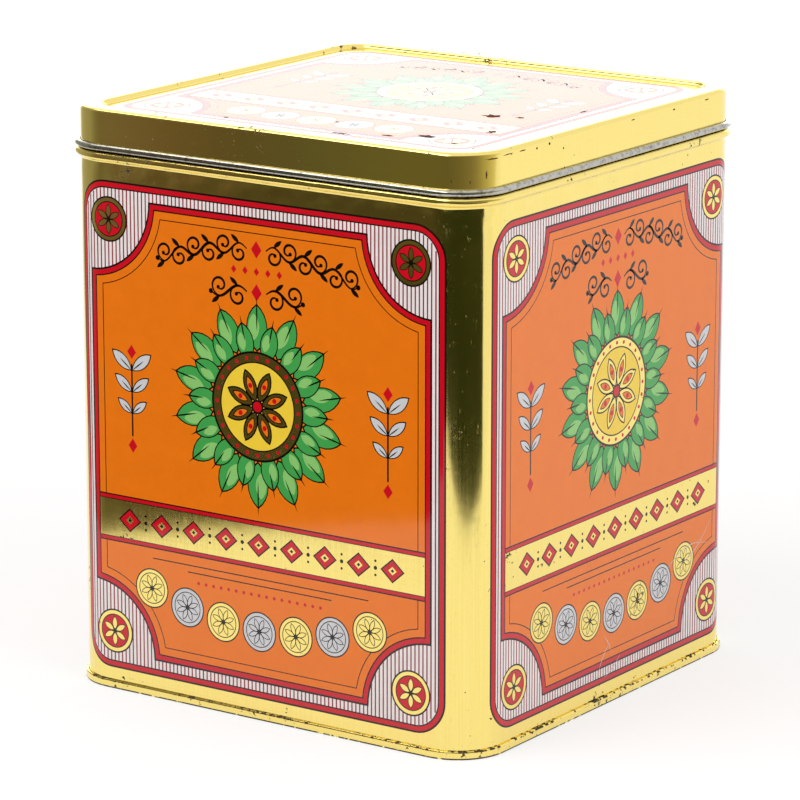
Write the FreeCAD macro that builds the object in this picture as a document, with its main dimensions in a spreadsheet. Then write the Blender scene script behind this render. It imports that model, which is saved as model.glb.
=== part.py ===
"""A square lever-free tin with a lift-off lid, made of three pieces of tinplate.

The body is one wrapped sheet with a stop bead, a necked-in mouth and a curled edge. The bottom end
is double-seamed to it, and the lid slips over the neck and stands on the bead by its rolled hem.
Every piece is a bent sheet: a path of straight runs and bends is drawn once for each face of the
sheet, and the strip between them is run along a side and turned round a corner.

Frame: +Z up, the origin on the ground in the middle of the tin, the front face towards -Y.
Lengths are millimetres and angles degrees.
"""

import FreeCAD, Part

import math
import os
from enum import IntEnum

import Sketcher

# Driving sizes. Each one becomes a cell of the sheet, and everything else is worked out from them.
SIZES = {
    "body_width": 180.0,  # across the flat sides of the body, and of the lid's skirt
    "corner_radius": 18.0,  # of the body's upright corners, outside
    "tin_height": 216.5,  # from the ground to the top of the lid's rim
    "plate": 0.32,  # thickness of the tinplate
    "seam_height": 3.2,  # of the double seam round the bottom
    "seam_play": 0.12,  # between the layers of the double seam
    "hook_gap": 0.1,  # from a hook's tip to the bend that it reaches into
    "base_recess": 4.2,  # from the ground to the bottom panel
    "base_bend": 0.5,  # inside radius where the bottom panel turns down
    "base_step_inset": 13.0,  # from the wall's face to the foot of the panel's stamped step
    "base_step_rise": 0.8,
    "base_step_radius": 1.2,
    "bead_depth": 2.0,  # how far the stop bead stands out from the wall
    "bead_nose": 1.6,
    "bead_foot": 1.3,
    "lid_depth": 15.0,  # from the lid's rim to the underside of its hem
    "lid_clearance": 0.3,  # between the neck and the lid's skirt
    "lid_seat_gap": 0.3,  # under the hem and under the rim of the closed lid
    "lid_edge": 1.6,  # outside radius from the rim to the skirt
    "lid_rim": 7.0,  # from the skirt's face to the inner edge of the raised rim
    "lid_recess": 1.6,  # from the rim down to the lid's panel
    "lid_step_crown": 0.8,
    "lid_step_foot": 1.2,
    "hem_diameter": 2.5,
    "hem_sweep": 305.0,
    "mouth_curl_diameter": 2.0,
    "mouth_curl_sweep": 290.0,
    "lock_seam_width": 4.5,  # of the folded side seam
    "lock_seam_layers": 3.0,  # of sheet that stand inside the wall
    "lock_seam_inset": 6.0,  # from the corner's bend to the middle of the side seam
    "lock_seam_groove": 0.3,
    "lock_seam_margin": 4.0,  # from the ends of the side seam to the bottom end and to the bead
}

BEND_FLAT = 45.0  # the most that one flat of a bend turns
SIDES = 4


class Spot(IntEnum):
    """A point of a line or an arc, as the sketcher numbers them."""

    START = 1
    END = 2
    CENTRE = 3


ORIGIN = (-1, Spot.START)


class Size:
    """A length or an angle that carries its value and the sheet expression that it comes from."""

    def __init__(self, value, expression):
        self.value = value
        self.expression = expression

    @staticmethod
    def of(number):
        return number if isinstance(number, Size) else Size(float(number), repr(number))

    def _join(self, other, sign, value):
        return Size(value, f"({self.expression} {sign} {Size.of(other).expression})")

    def __add__(self, other):
        return self._join(other, "+", self.value + Size.of(other).value)

    def __sub__(self, other):
        return self._join(other, "-", self.value - Size.of(other).value)

    def __mul__(self, other):
        return self._join(other, "*", self.value * Size.of(other).value)

    def __truediv__(self, other):
        return self._join(other, "/", self.value / Size.of(other).value)


def make_sheet(doc):
    """The spreadsheet of driving sizes, and the same sizes by name for the rest of the script."""
    sheet = doc.addObject("Spreadsheet::Sheet", "Sizes")
    sizes = {}
    for row, (name, value) in enumerate(SIZES.items(), start=1):
        sheet.set(f"A{row}", name)
        sheet.set(f"B{row}", str(value))
        sheet.setAlias(f"B{row}", name)
        sizes[name] = Size(value, f"Sizes.{name}")
    doc.recompute()
    return sizes


def derive(s):
    """Sizes that several pieces share, worked out once from the driving ones."""
    s["half_width"] = s["body_width"] / 2
    s["corner_axis"] = s["half_width"] - s["corner_radius"]
    s["side_length"] = s["corner_axis"] * 2
    # Outwards, the double seam is a wall of the bottom end, the body, the end's hook, the body's hook
    # and the end again, one pitch apart.
    s["seam_pitch"] = s["plate"] + s["seam_play"]
    s["fold_inside"] = s["seam_play"] + s["plate"] / 2
    s["fold_outside"] = s["fold_inside"] + s["plate"]
    s["body_fold_z"] = s["seam_pitch"] + s["fold_outside"]
    s["end_fold_z"] = s["seam_height"] - s["fold_outside"]
    # The lid's skirt is flush with the body, so the neck steps in by a sheet and the clearance.
    s["neck_face"] = s["half_width"] - s["plate"] - s["lid_clearance"]
    s["mouth_z"] = s["tin_height"] - s["plate"] - s["lid_seat_gap"]
    s["hem_z"] = s["tin_height"] - s["lid_depth"]
    s["bead_z"] = s["hem_z"] - s["lid_seat_gap"] - s["bead_nose"]
    return s


def swing(reach, shift):
    """The turn, in degrees, of two bends whose centres are a reach apart and move a line over by a shift."""
    return math.degrees(math.acos(1 - shift.value / reach.value))


def measure(sketch, kind, size, *points):
    """Holds a dimension of a sketch at a size. A dimension is positive, so a negative one is turned round."""
    if len(points) == 2 and size.value < 0:
        size, points = Size(0.0, "0") - size, points[::-1]
    places = [number for point in points for number in point]
    value = math.radians(size.value) if kind == "Angle" else size.value
    index = sketch.addConstraint(Sketcher.Constraint(kind, *places, value))
    sketch.setExpression(f"Constraints[{index}]", size.expression)


class SheetFace:
    """One face of a bent sheet, drawn in a sketch as straight runs and tangent bends.

    The path of a piece is the same for both of its faces. It follows the printed face, and the
    other face lies to its left by the sheet's thickness. Across the sketch is the distance from
    the middle of the tin, and up is the height.
    """

    def __init__(self, sketch, depth):
        self.sketch = sketch
        self.depth = depth
        self.first = None
        self.last = None

    def begin(self, u, z, heading):
        """Starts at a point, in a direction measured from straight out towards up."""
        self.heading = math.radians(heading)
        self.start = (self._shift(u, self._left().x), self._shift(z, self._left().y))
        self.at = FreeCAD.Vector(self.start[0].value, self.start[1].value, 0)
        return self

    def begin_curl(self, radius, sweep, centre_u, centre_z):
        """Starts with a curl round a centre, turning right until the path heads straight up."""
        angle = math.radians(180 + sweep.value)
        spoke = FreeCAD.Vector(math.cos(angle), math.sin(angle), 0) * (radius + self.depth).value
        self.at = FreeCAD.Vector(centre_u.value, centre_z.value, 0) + spoke
        self.heading = angle - math.pi / 2
        self.start = (None, None)
        return self.bend(radius, -sweep.value, centre_u, centre_z, sweep)

    def upright(self, to_z, at_u=None, fixed=True):
        """An upright run to a height, at a distance if its bends do not already put it there."""
        at_u = at_u and self._shift(at_u, self._left().x)
        goal = FreeCAD.Vector(self.at.x, to_z.value, 0)
        return self._run("Vertical", (at_u, None), goal, (None, to_z), fixed)

    def level(self, to_u, at_z=None, fixed=True):
        """A level run to a distance, at a height if its bends do not already put it there."""
        at_z = at_z and self._shift(at_z, self._left().y)
        goal = FreeCAD.Vector(to_u.value, self.at.y, 0)
        return self._run("Horizontal", (None, at_z), goal, (to_u, None), fixed)

    def bend(self, radius, turn, centre_u=None, centre_z=None, sweep=None):
        """A bend of a radius, left for a positive turn. What comes next ends it, or the sweep does."""
        side = math.copysign(1, turn)
        radius = radius - self.depth * side
        centre = self.at + self._left() * (radius.value * side)
        first = math.atan2(self.at.y - centre.y, self.at.x - centre.x)
        last = first + math.radians(turn)
        circle = Part.Circle(centre, FreeCAD.Vector(0, 0, 1), radius.value)
        arc = Part.ArcOfCircle(circle, min(first, last), max(first, last))
        index = self.sketch.addGeometry(arc, True)
        near, far = (Spot.START, Spot.END) if turn > 0 else (Spot.END, Spot.START)
        self._join(index, near)
        measure(self.sketch, "Radius", radius, (index,))
        self._place((index, Spot.CENTRE), centre_u, centre_z)
        if sweep is not None:
            measure(self.sketch, "Angle", sweep, (index,))
        self._add_flats(index, near, far, centre, radius.value, first, last)
        self.at = centre + FreeCAD.Vector(math.cos(last), math.sin(last), 0) * radius.value
        self.heading += math.radians(turn)
        self.last = (index, far)
        return self

    def _left(self):
        return FreeCAD.Vector(-math.sin(self.heading), math.cos(self.heading), 0)

    def _shift(self, size, direction):
        return size + self.depth * round(direction)

    def _hold(self, kind, *places):
        self.sketch.addConstraint(Sketcher.Constraint(kind, *places))

    def _place(self, point, u=None, z=None):
        if u is not None:
            measure(self.sketch, "DistanceX", u, ORIGIN, point)
        if z is not None:
            measure(self.sketch, "DistanceY", z, ORIGIN, point)

    def _join(self, index, near):
        """Joins the end of a new run or bend to the last one without a crease, or places the first."""
        if self.last is None:
            self._place((index, near), *self.start)
            self.first = (index, near)
        else:
            self._hold("Tangent", *self.last, index, near)

    def _run(self, kind, position, goal, end, fixed):
        index = self.sketch.addGeometry(Part.LineSegment(self.at, goal), False)
        self._join(index, Spot.START)
        self._hold(kind, index)
        self._place((index, Spot.START), *position)
        if fixed:
            self._place((index, Spot.END), *end)
        self.last, self.at = (index, Spot.END), goal
        return self

    def _add_flats(self, arc, near, far, centre, radius, first, last):
        """Divides a bend into equal flats whose corners lie on it, so that its corner pieces stay light."""
        count = max(2, math.ceil(abs(last - first) / math.radians(BEND_FLAT) - 0.01))
        angles = [first + (last - first) * step / count for step in range(count + 1)]
        points = [centre + FreeCAD.Vector(math.cos(a), math.sin(a), 0) * radius for a in angles]
        flats = [self.sketch.addGeometry(Part.LineSegment(*ends), False) for ends in zip(points, points[1:])]
        self._hold("Coincident", flats[0], Spot.START, arc, near)
        self._hold("Coincident", flats[-1], Spot.END, arc, far)
        for before, after in zip(flats, flats[1:]):
            self._hold("Coincident", before, Spot.END, after, Spot.START)
            self._hold("PointOnObject", after, Spot.START, arc)
            self._hold("Equal", before, after)


def origin_feature(body, role):
    return next(feature for feature in body.Origin.OriginFeatures if feature.Role == role)


def upright_axis(body, name, out):
    """A vertical axis that stands out from the middle of the tin by the same length both ways."""
    axis = body.newObject("PartDesign::Line", name)
    for coordinate in "xy":
        axis.setExpression(f"Placement.Base.{coordinate}", out.expression)
    return axis


def rectangle(body, name, x, y, z):
    """A level rectangle in a sketch, from a pair of sizes each way, at a height."""
    sketch = body.newObject("Sketcher::SketchObject", name)
    sketch.AttachmentSupport = [(origin_feature(body, "XY_Plane"), "")]
    sketch.MapMode = "FlatFace"
    sketch.setExpression("AttachmentOffset.Base.z", z.expression)
    corners = [(x[0], y[0]), (x[1], y[0]), (x[1], y[1]), (x[0], y[1])]
    points = [FreeCAD.Vector(u.value, v.value, 0) for u, v in corners]
    for first, second in zip(points, points[1:] + points[:1]):
        sketch.addGeometry(Part.LineSegment(first, second), False)
    for side, kind in enumerate(["Horizontal", "Vertical", "Horizontal", "Vertical"]):
        sketch.addConstraint(Sketcher.Constraint("Coincident", side, Spot.END, (side + 1) % SIDES, Spot.START))
        sketch.addConstraint(Sketcher.Constraint(kind, side))
    for corner in (0, 2):
        measure(sketch, "DistanceX", corners[corner][0], ORIGIN, (corner, Spot.START))
        measure(sketch, "DistanceY", corners[corner][1], ORIGIN, (corner, Spot.START))
    return sketch


def block(body, kind, name, x, y, z):
    """A box between a pair of sizes each way, added to a body as a pad or taken from it as a pocket."""
    box = body.newObject(kind, name)
    box.Profile = rectangle(body, f"{name}_outline", x, y, z[0])
    box.setExpression("Length", (z[1] - z[0]).expression)
    box.Reversed = kind == "PartDesign::Pocket"
    body.Tip = box
    return box


def sheet_section(doc, body, name, sizes, path):
    """The cut through a sheet, in a sketch that stands where a straight side meets its corner."""
    sketch = body.newObject("Sketcher::SketchObject", f"{name}_section")
    sketch.AttachmentSupport = [(origin_feature(body, "XZ_Plane"), "")]
    sketch.MapMode = "FlatFace"
    sketch.setExpression("AttachmentOffset.Base.z", f"-{sizes['corner_axis'].expression}")
    faces = [path(SheetFace(sketch, depth)) for depth in (Size(0.0, "0"), sizes["plate"])]
    for ends in ([face.first for face in faces], [face.last for face in faces]):
        points = [sketch.getPoint(*end) for end in ends]
        edge = sketch.addGeometry(Part.LineSegment(*points), False)
        for end, spot in zip(ends, (Spot.START, Spot.END)):
            sketch.addConstraint(Sketcher.Constraint("Coincident", edge, spot, *end))
    doc.recompute()
    return sketch


def bent_sheet(doc, body, name, sizes, path):
    """Draws a sheet's section, runs it along one side, turns it round one corner, and repeats that."""
    section = sheet_section(doc, body, name, sizes, path)
    wall = body.newObject("PartDesign::Pad", f"{name}_side")
    wall.Profile = section
    wall.setExpression("Length", sizes["side_length"].expression)
    doc.recompute()

    corner = body.newObject("PartDesign::Revolution", f"{name}_corner")
    corner.Profile = section
    corner.ReferenceAxis = (upright_axis(body, f"{name}_corner_axis", sizes["corner_axis"]), [""])
    corner.Angle = 360.0 / SIDES
    doc.recompute()

    ring = body.newObject("PartDesign::PolarPattern", f"{name}_ring")
    ring.Originals = [wall, corner]
    ring.Axis = (origin_feature(body, "Z_Axis"), [""])
    ring.Angle = 360.0
    ring.Occurrences = SIDES
    body.Tip = ring
    doc.recompute()


def make_body_shell(doc, s):
    """The wrapped sheet, from its hook in the double seam up over the bead and the neck to the curled mouth."""
    foot, nose, curl = s["bead_foot"], s["bead_nose"], s["mouth_curl_diameter"] / 2
    reach, shift = foot + nose, s["half_width"] - s["neck_face"]
    rise, fall = swing(reach, s["bead_depth"]), swing(reach, s["bead_depth"] + shift)
    bead_start = s["bead_z"] - reach * math.sin(math.radians(rise))

    def path(face):
        face.begin(s["half_width"] + s["fold_inside"] * 2, s["end_fold_z"] - s["hook_gap"], -90)
        face.upright(s["body_fold_z"])
        face.bend(s["fold_inside"], -180)
        face.upright(bead_start, fixed=False)
        face.bend(foot, -rise)
        face.bend(nose, rise + fall, s["half_width"] + s["bead_depth"] - nose, s["bead_z"])
        face.bend(foot, -fall)
        face.upright(s["mouth_z"] - curl, at_u=s["neck_face"])
        return face.bend(curl, s["mouth_curl_sweep"].value, sweep=s["mouth_curl_sweep"])

    body = doc.addObject("PartDesign::Body", "body_shell")
    bent_sheet(doc, body, "body", s, path)
    add_side_seam(body, s, bead_start)
    return body


def add_side_seam(body, s, bead_start):
    """The folded seam that closes the wrap, a flat rib inside the rear wall and a thin groove outside it."""
    back, middle = s["half_width"], Size(0.0, "0") - (s["corner_axis"] - s["lock_seam_inset"])
    inside = back - s["plate"] * (s["lock_seam_layers"] + 1)
    low, high = s["base_recess"] + s["lock_seam_margin"], bead_start - s["lock_seam_margin"]
    half, groove = s["lock_seam_width"] / 2, s["lock_seam_groove"] / 2
    block(body, "PartDesign::Pad", "side_seam_rib", (middle - half, middle + half),
          (inside, back - s["plate"] / 2), (low, high))
    edge = middle + half
    block(body, "PartDesign::Pocket", "side_seam_groove", (edge - groove, edge + groove),
          (back - s["plate"] / 2, back + s["plate"]), (low, high))


def add_panel(body, name, s, low):
    """The middle of a sheet's panel, inside the straight sides, from its underside up by the plate."""
    half = s["corner_axis"]
    across = (Size(0.0, "0") - half, half)
    block(body, "PartDesign::Pad", name, across, across, (low, low + s["plate"]))


def make_base_end(doc, s):
    """The stamped bottom, from its panel down to the ground and back up over the body's hook."""
    panel_z = s["base_recess"] + s["base_step_rise"]
    step = s["base_step_radius"]
    turn = swing(step * 2, s["base_step_rise"])
    inner_face = s["half_width"] - s["seam_pitch"] - s["plate"]
    outer_face = s["half_width"] + s["seam_pitch"] * 3

    def path(face):
        face.begin(s["corner_axis"], panel_z, 0)
        face.level(s["half_width"] - s["base_step_inset"], fixed=False)
        face.bend(step, -turn, centre_u=s["half_width"] - s["base_step_inset"])
        face.bend(step, turn)
        face.level(inner_face - s["base_bend"], at_z=s["base_recess"], fixed=False)
        face.bend(s["base_bend"], -90)
        face.upright(s["fold_outside"], at_u=inner_face, fixed=False)
        face.bend(s["fold_outside"], 90)
        face.level(outer_face - s["fold_outside"], at_z=Size(0.0, "0"), fixed=False)
        face.bend(s["fold_outside"], 90)
        face.upright(s["end_fold_z"], at_u=outer_face)
        face.bend(s["fold_outside"], 180)
        return face.upright(s["body_fold_z"] + s["hook_gap"])

    body = doc.addObject("PartDesign::Body", "base_end")
    add_panel(body, "base_panel", s, panel_z)
    bent_sheet(doc, body, "base", s, path)
    return body


def make_lid(doc, s):
    """The drawn lid, from the tip of its rolled hem up the skirt and over the rim to the sunk panel."""
    panel_z = s["tin_height"] - s["lid_recess"]
    hem = s["hem_diameter"] / 2
    curl = hem - s["plate"]
    crown, foot = s["lid_step_crown"], s["lid_step_foot"]
    turn = swing(crown + foot, s["lid_recess"])

    def path(face):
        face.begin_curl(curl, s["hem_sweep"], s["half_width"] + curl, s["hem_z"] + hem)
        face.upright(s["tin_height"] - s["lid_edge"], fixed=False)
        face.bend(s["lid_edge"], 90)
        face.level(s["half_width"] - s["lid_rim"], at_z=s["tin_height"], fixed=False)
        face.bend(crown, turn, centre_u=s["half_width"] - s["lid_rim"])
        face.bend(foot, -turn)
        return face.level(s["corner_axis"], at_z=panel_z)

    body = doc.addObject("PartDesign::Body", "lid")
    add_panel(body, "lid_panel", s, panel_z - s["plate"])
    bent_sheet(doc, body, "lid", s, path)
    return body


def check(doc, pieces):
    """Stops the build if any object failed or any piece is not one sound solid."""
    for thing in doc.Objects:
        if {"Invalid", "Error"} & set(thing.State):
            raise RuntimeError(f"{thing.Name} did not build: {thing.State}")
        if thing.TypeId == "Sketcher::SketchObject" and not thing.FullyConstrained:
            raise RuntimeError(f"{thing.Name} is not fully constrained")
    for piece in pieces:
        shape = piece.Shape
        if shape.isNull() or not shape.isValid() or len(shape.Solids) != 1:
            raise RuntimeError(f"{piece.Label} is not one sound solid")


def main():
    doc = FreeCAD.newDocument("tin")
    sizes = derive(make_sheet(doc))
    pieces = [make_body_shell(doc, sizes), make_base_end(doc, sizes), make_lid(doc, sizes)]
    for piece in pieces:
        piece.Label = piece.Name
        piece.Placement = FreeCAD.Placement()
    doc.recompute()
    check(doc, pieces)
    os.makedirs("parts", exist_ok=True)
    for piece in pieces:
        piece.Shape.exportStep(f"parts/{piece.Label}.step")


main()
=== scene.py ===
"""Dresses a square tinplate tin: its three pressed sheets, the print on them, and a studio table.

Lengths are millimetres until a point goes to Blender, which takes metres. The tin stands on the
ground in the middle of the scene with its front face towards -Y. The print is drawn flat, as seen
from the front, and is then laid on the walls, round the start of the corners, and on the lid.
"""
import logging
import math
from dataclasses import dataclass, field
from enum import Enum, IntEnum
from typing import Callable, Iterable, Iterator

import bpy
from mathutils import Matrix, Vector


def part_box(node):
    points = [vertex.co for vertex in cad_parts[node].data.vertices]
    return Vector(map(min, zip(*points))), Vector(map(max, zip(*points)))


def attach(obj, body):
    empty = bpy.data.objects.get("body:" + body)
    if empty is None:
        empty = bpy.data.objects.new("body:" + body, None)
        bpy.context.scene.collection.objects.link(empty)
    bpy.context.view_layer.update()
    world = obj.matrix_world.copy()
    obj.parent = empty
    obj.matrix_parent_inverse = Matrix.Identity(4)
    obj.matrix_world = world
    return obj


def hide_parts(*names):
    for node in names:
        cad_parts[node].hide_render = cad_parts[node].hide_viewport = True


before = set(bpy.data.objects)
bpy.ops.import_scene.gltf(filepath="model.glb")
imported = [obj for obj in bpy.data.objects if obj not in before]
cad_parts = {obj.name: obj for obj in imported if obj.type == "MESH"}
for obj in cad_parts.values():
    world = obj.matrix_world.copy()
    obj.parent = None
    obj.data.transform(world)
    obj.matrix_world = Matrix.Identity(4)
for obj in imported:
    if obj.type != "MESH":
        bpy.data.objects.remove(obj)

MM = 0.001
LOG = logging.getLogger("tin")
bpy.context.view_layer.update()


# ---------------------------------------------------------------------------------------------
# Small tools


def linear(hex_colour: str) -> tuple[float, float, float, float]:
    """Turns an sRGB hex colour into the linear values that shaders take.

    Args:
        hex_colour: six hex digits after a #.

    Returns:
        Linear red, green and blue, and an alpha of 1.
    """
    parts = [int(hex_colour[i:i + 2], 16) / 255 for i in (1, 3, 5)]
    return (*(c / 12.92 if c <= 0.04045 else ((c + 0.055) / 1.055) ** 2.4 for c in parts), 1.0)


def add_node(tree: bpy.types.NodeTree, kind: str, settings: dict | None = None,
             links: dict | None = None) -> bpy.types.Node:
    """Adds a node with its settings and links.

    Args:
        tree: the node tree that gets the node.
        kind: the node's type name.
        settings: values for its properties, or for its inputs by name or number.
        links: output sockets for its inputs, by name or number.

    Returns:
        The new node.
    """
    node = tree.nodes.new(kind)
    for key, value in (settings or {}).items():
        if isinstance(key, str) and hasattr(node, key):
            setattr(node, key, value)
        else:
            node.inputs[key].default_value = value
    for key, socket in (links or {}).items():
        tree.links.new(socket, node.inputs[key])
    return node


def new_material(name: str) -> tuple[bpy.types.Material, bpy.types.NodeTree]:
    """Makes a material with an empty node tree.

    Args:
        name: the material's name.

    Returns:
        The material and its node tree.
    """
    material = bpy.data.materials.new(name)
    material.use_nodes = True
    material.node_tree.nodes.clear()
    return material, material.node_tree


def add_noise(tree: bpy.types.NodeTree, place: bpy.types.NodeSocket, scale: float, detail: float,
              roughness: float = 0.5) -> bpy.types.NodeSocket:
    """Adds a noise pattern.

    Args:
        tree: the node tree that gets the pattern.
        place: the place at which it is looked up.
        scale: how many of its largest spots fit along one unit of that place.
        detail: how many finer octaves it has.
        roughness: how much the finer octaves count.

    Returns:
        The pattern's value, from 0 to 1.
    """
    settings = {"Scale": scale, "Detail": detail, "Roughness": roughness}
    return add_node(tree, "ShaderNodeTexNoise", settings, {"Vector": place}).outputs["Fac"]


def add_sum(tree: bpy.types.NodeTree, one: bpy.types.NodeSocket, two: bpy.types.NodeSocket,
            clamp: bool = False) -> bpy.types.NodeSocket:
    """Adds two values.

    Args:
        tree: the node tree that gets the sum.
        one: the first value.
        two: the second value.
        clamp: True to keep the sum between 0 and 1.

    Returns:
        The sum.
    """
    settings = {"operation": "ADD", "use_clamp": clamp}
    return add_node(tree, "ShaderNodeMath", settings, {0: one, 1: two}).outputs[0]


def add_tint(tree: bpy.types.NodeTree, share: bpy.types.NodeSocket, one: str,
             two: str) -> bpy.types.NodeSocket:
    """Mixes two colours.

    Args:
        tree: the node tree that gets the mix.
        share: 0 for the first alone and 1 for the second alone.
        one: the first colour, as six hex digits after a #.
        two: the second colour.

    Returns:
        The mixed colour.
    """
    colours = {"data_type": "RGBA", 6: linear(one), 7: linear(two)}
    return add_node(tree, "ShaderNodeMix", colours, {0: share}).outputs[2]


def add_blend(tree: bpy.types.NodeTree, share: bpy.types.NodeSocket, one: bpy.types.Node,
              two: bpy.types.Node) -> bpy.types.Node:
    """Mixes two shaders.

    Args:
        tree: the node tree that gets the mix.
        share: 0 for the first alone and 1 for the second alone.
        one: the first shader.
        two: the second shader.

    Returns:
        The mixed shader's node.
    """
    return add_node(tree, "ShaderNodeMixShader", {}, {0: share, 1: one.outputs[0], 2: two.outputs[0]})


def end_tree(tree: bpy.types.NodeTree, shader: bpy.types.Node, kind: str = "Material") -> None:
    """Gives a tree its output."""
    add_node(tree, f"ShaderNodeOutput{kind}", {}, {"Surface": shader.outputs[0]})


def deselect() -> None:
    """Leaves edit mode and deselects every object."""
    if bpy.context.object and bpy.context.object.mode != "OBJECT":
        bpy.ops.object.mode_set(mode="OBJECT")
    for obj in bpy.context.selected_objects:
        obj.select_set(False)


def activate(objects: Iterable[bpy.types.Object]) -> None:
    """Selects these objects alone and makes the first one active.

    Args:
        objects: what to select.
    """
    deselect()
    objects = list(objects)
    for obj in objects:
        obj.select_set(True)
    bpy.context.view_layer.objects.active = objects[0]


def join(objects: list[bpy.types.Object], name: str) -> bpy.types.Object:
    """Joins objects into the first one.

    Args:
        objects: the meshes to join.
        name: the joined object's name.

    Returns:
        The joined object.
    """
    activate(objects)
    if len(objects) > 1:
        bpy.ops.object.join()
    obj = bpy.context.object
    obj.name = name
    obj.data.name = name
    return obj


def moved_copy(obj: bpy.types.Object, matrix: Matrix, name: str, shown: bool = True) -> bpy.types.Object:
    """Copies an object with its own mesh, which a matrix moves, so that the object stays at the origin.

    Args:
        obj: the object to copy.
        matrix: where its mesh goes.
        name: the copy's name.
        shown: False to leave the copy out of the scene for now.

    Returns:
        The copy.
    """
    copy = bpy.data.objects.new(name, obj.data.copy())
    copy.data.name = name
    copy.data.transform(matrix)
    if shown:
        bpy.context.collection.objects.link(copy)
    return copy


def apply_modifier(obj: bpy.types.Object, kind: str, **settings: object) -> None:
    """Adds a modifier and applies it.

    Args:
        obj: the object that gets it.
        kind: the modifier's type.
        **settings: values for its properties.
    """
    activate([obj])
    modifier = obj.modifiers.new(kind.lower(), kind)
    for key, value in settings.items():
        setattr(modifier, key, value)
    bpy.ops.object.modifier_apply(modifier=modifier.name)


class Scriber:
    """Draws a line in an upright plane by extruding and spinning its last point.

    Across the plane is x and up it is z, in millimetres, and the plane stands at one depth y.
    """

    WELD = 0.002

    def __init__(self, name: str, x: float, z: float, y: float) -> None:
        """Puts down the first point.

        Args:
            name: the name of the mesh and its object.
            x: across.
            z: up.
            y: the plane's depth.
        """
        deselect()
        bpy.ops.mesh.primitive_plane_add(size=MM)
        self.obj = bpy.context.object
        self.obj.name = name
        self.obj.data.name = name
        self.x, self.z, self.y = x, z, y
        bpy.ops.object.mode_set(mode="EDIT")
        bpy.ops.mesh.select_all(action="SELECT")
        bpy.ops.mesh.merge(type="CENTER")
        bpy.ops.transform.translate(value=(x * MM, y * MM, z * MM))

    def to(self, x: float, z: float) -> "Scriber":
        """Draws a straight stretch to a point.

        Args:
            x: the point, across.
            z: the point, up.

        Returns:
            The scriber.
        """
        move = ((x - self.x) * MM, 0.0, (z - self.z) * MM)
        bpy.ops.mesh.extrude_region_move(TRANSFORM_OT_translate={"value": move})
        self.x, self.z = x, z
        return self

    def about(self, x: float, z: float, sweep: float, steps: int = 8) -> "Scriber":
        """Draws an arc about a centre.

        Args:
            x: the centre, across.
            z: the centre, up.
            sweep: how far it goes, in degrees, from across towards up.
            steps: how many stretches it has.

        Returns:
            The scriber.
        """
        bpy.ops.mesh.spin(steps=steps, angle=math.radians(sweep),
                          center=(x * MM, self.y * MM, z * MM), axis=(0, 1, 0))
        angle = math.radians(sweep)
        dx, dz = self.x - x, self.z - z
        self.x = x + dx * math.cos(angle) - dz * math.sin(angle)
        self.z = z + dx * math.sin(angle) + dz * math.cos(angle)
        return self

    def face(self) -> bpy.types.Object:
        """Closes the line, fills it, and returns its object."""
        bpy.ops.mesh.select_all(action="SELECT")
        bpy.ops.mesh.remove_doubles(threshold=self.WELD * MM)
        bpy.ops.mesh.edge_face_add()
        bpy.ops.object.mode_set(mode="OBJECT")
        return self.obj


# ---------------------------------------------------------------------------------------------
# Finishes


class Grain(Enum):
    """Which way the rolling lines of a sheet run, as the spacing of its pattern along x, y and z in mm."""

    UPRIGHT = (0.55, 0.55, 60.0)
    ACROSS = (60.0, 0.55, 0.55)


@dataclass(frozen=True)
class WearAndShadeBand:
    """A stretch of height, in millimetres, with brown chips: handling wear, and at the base's foot partly
    painted contact shade.
    """

    low: float
    high: float
    amount: float


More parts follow.
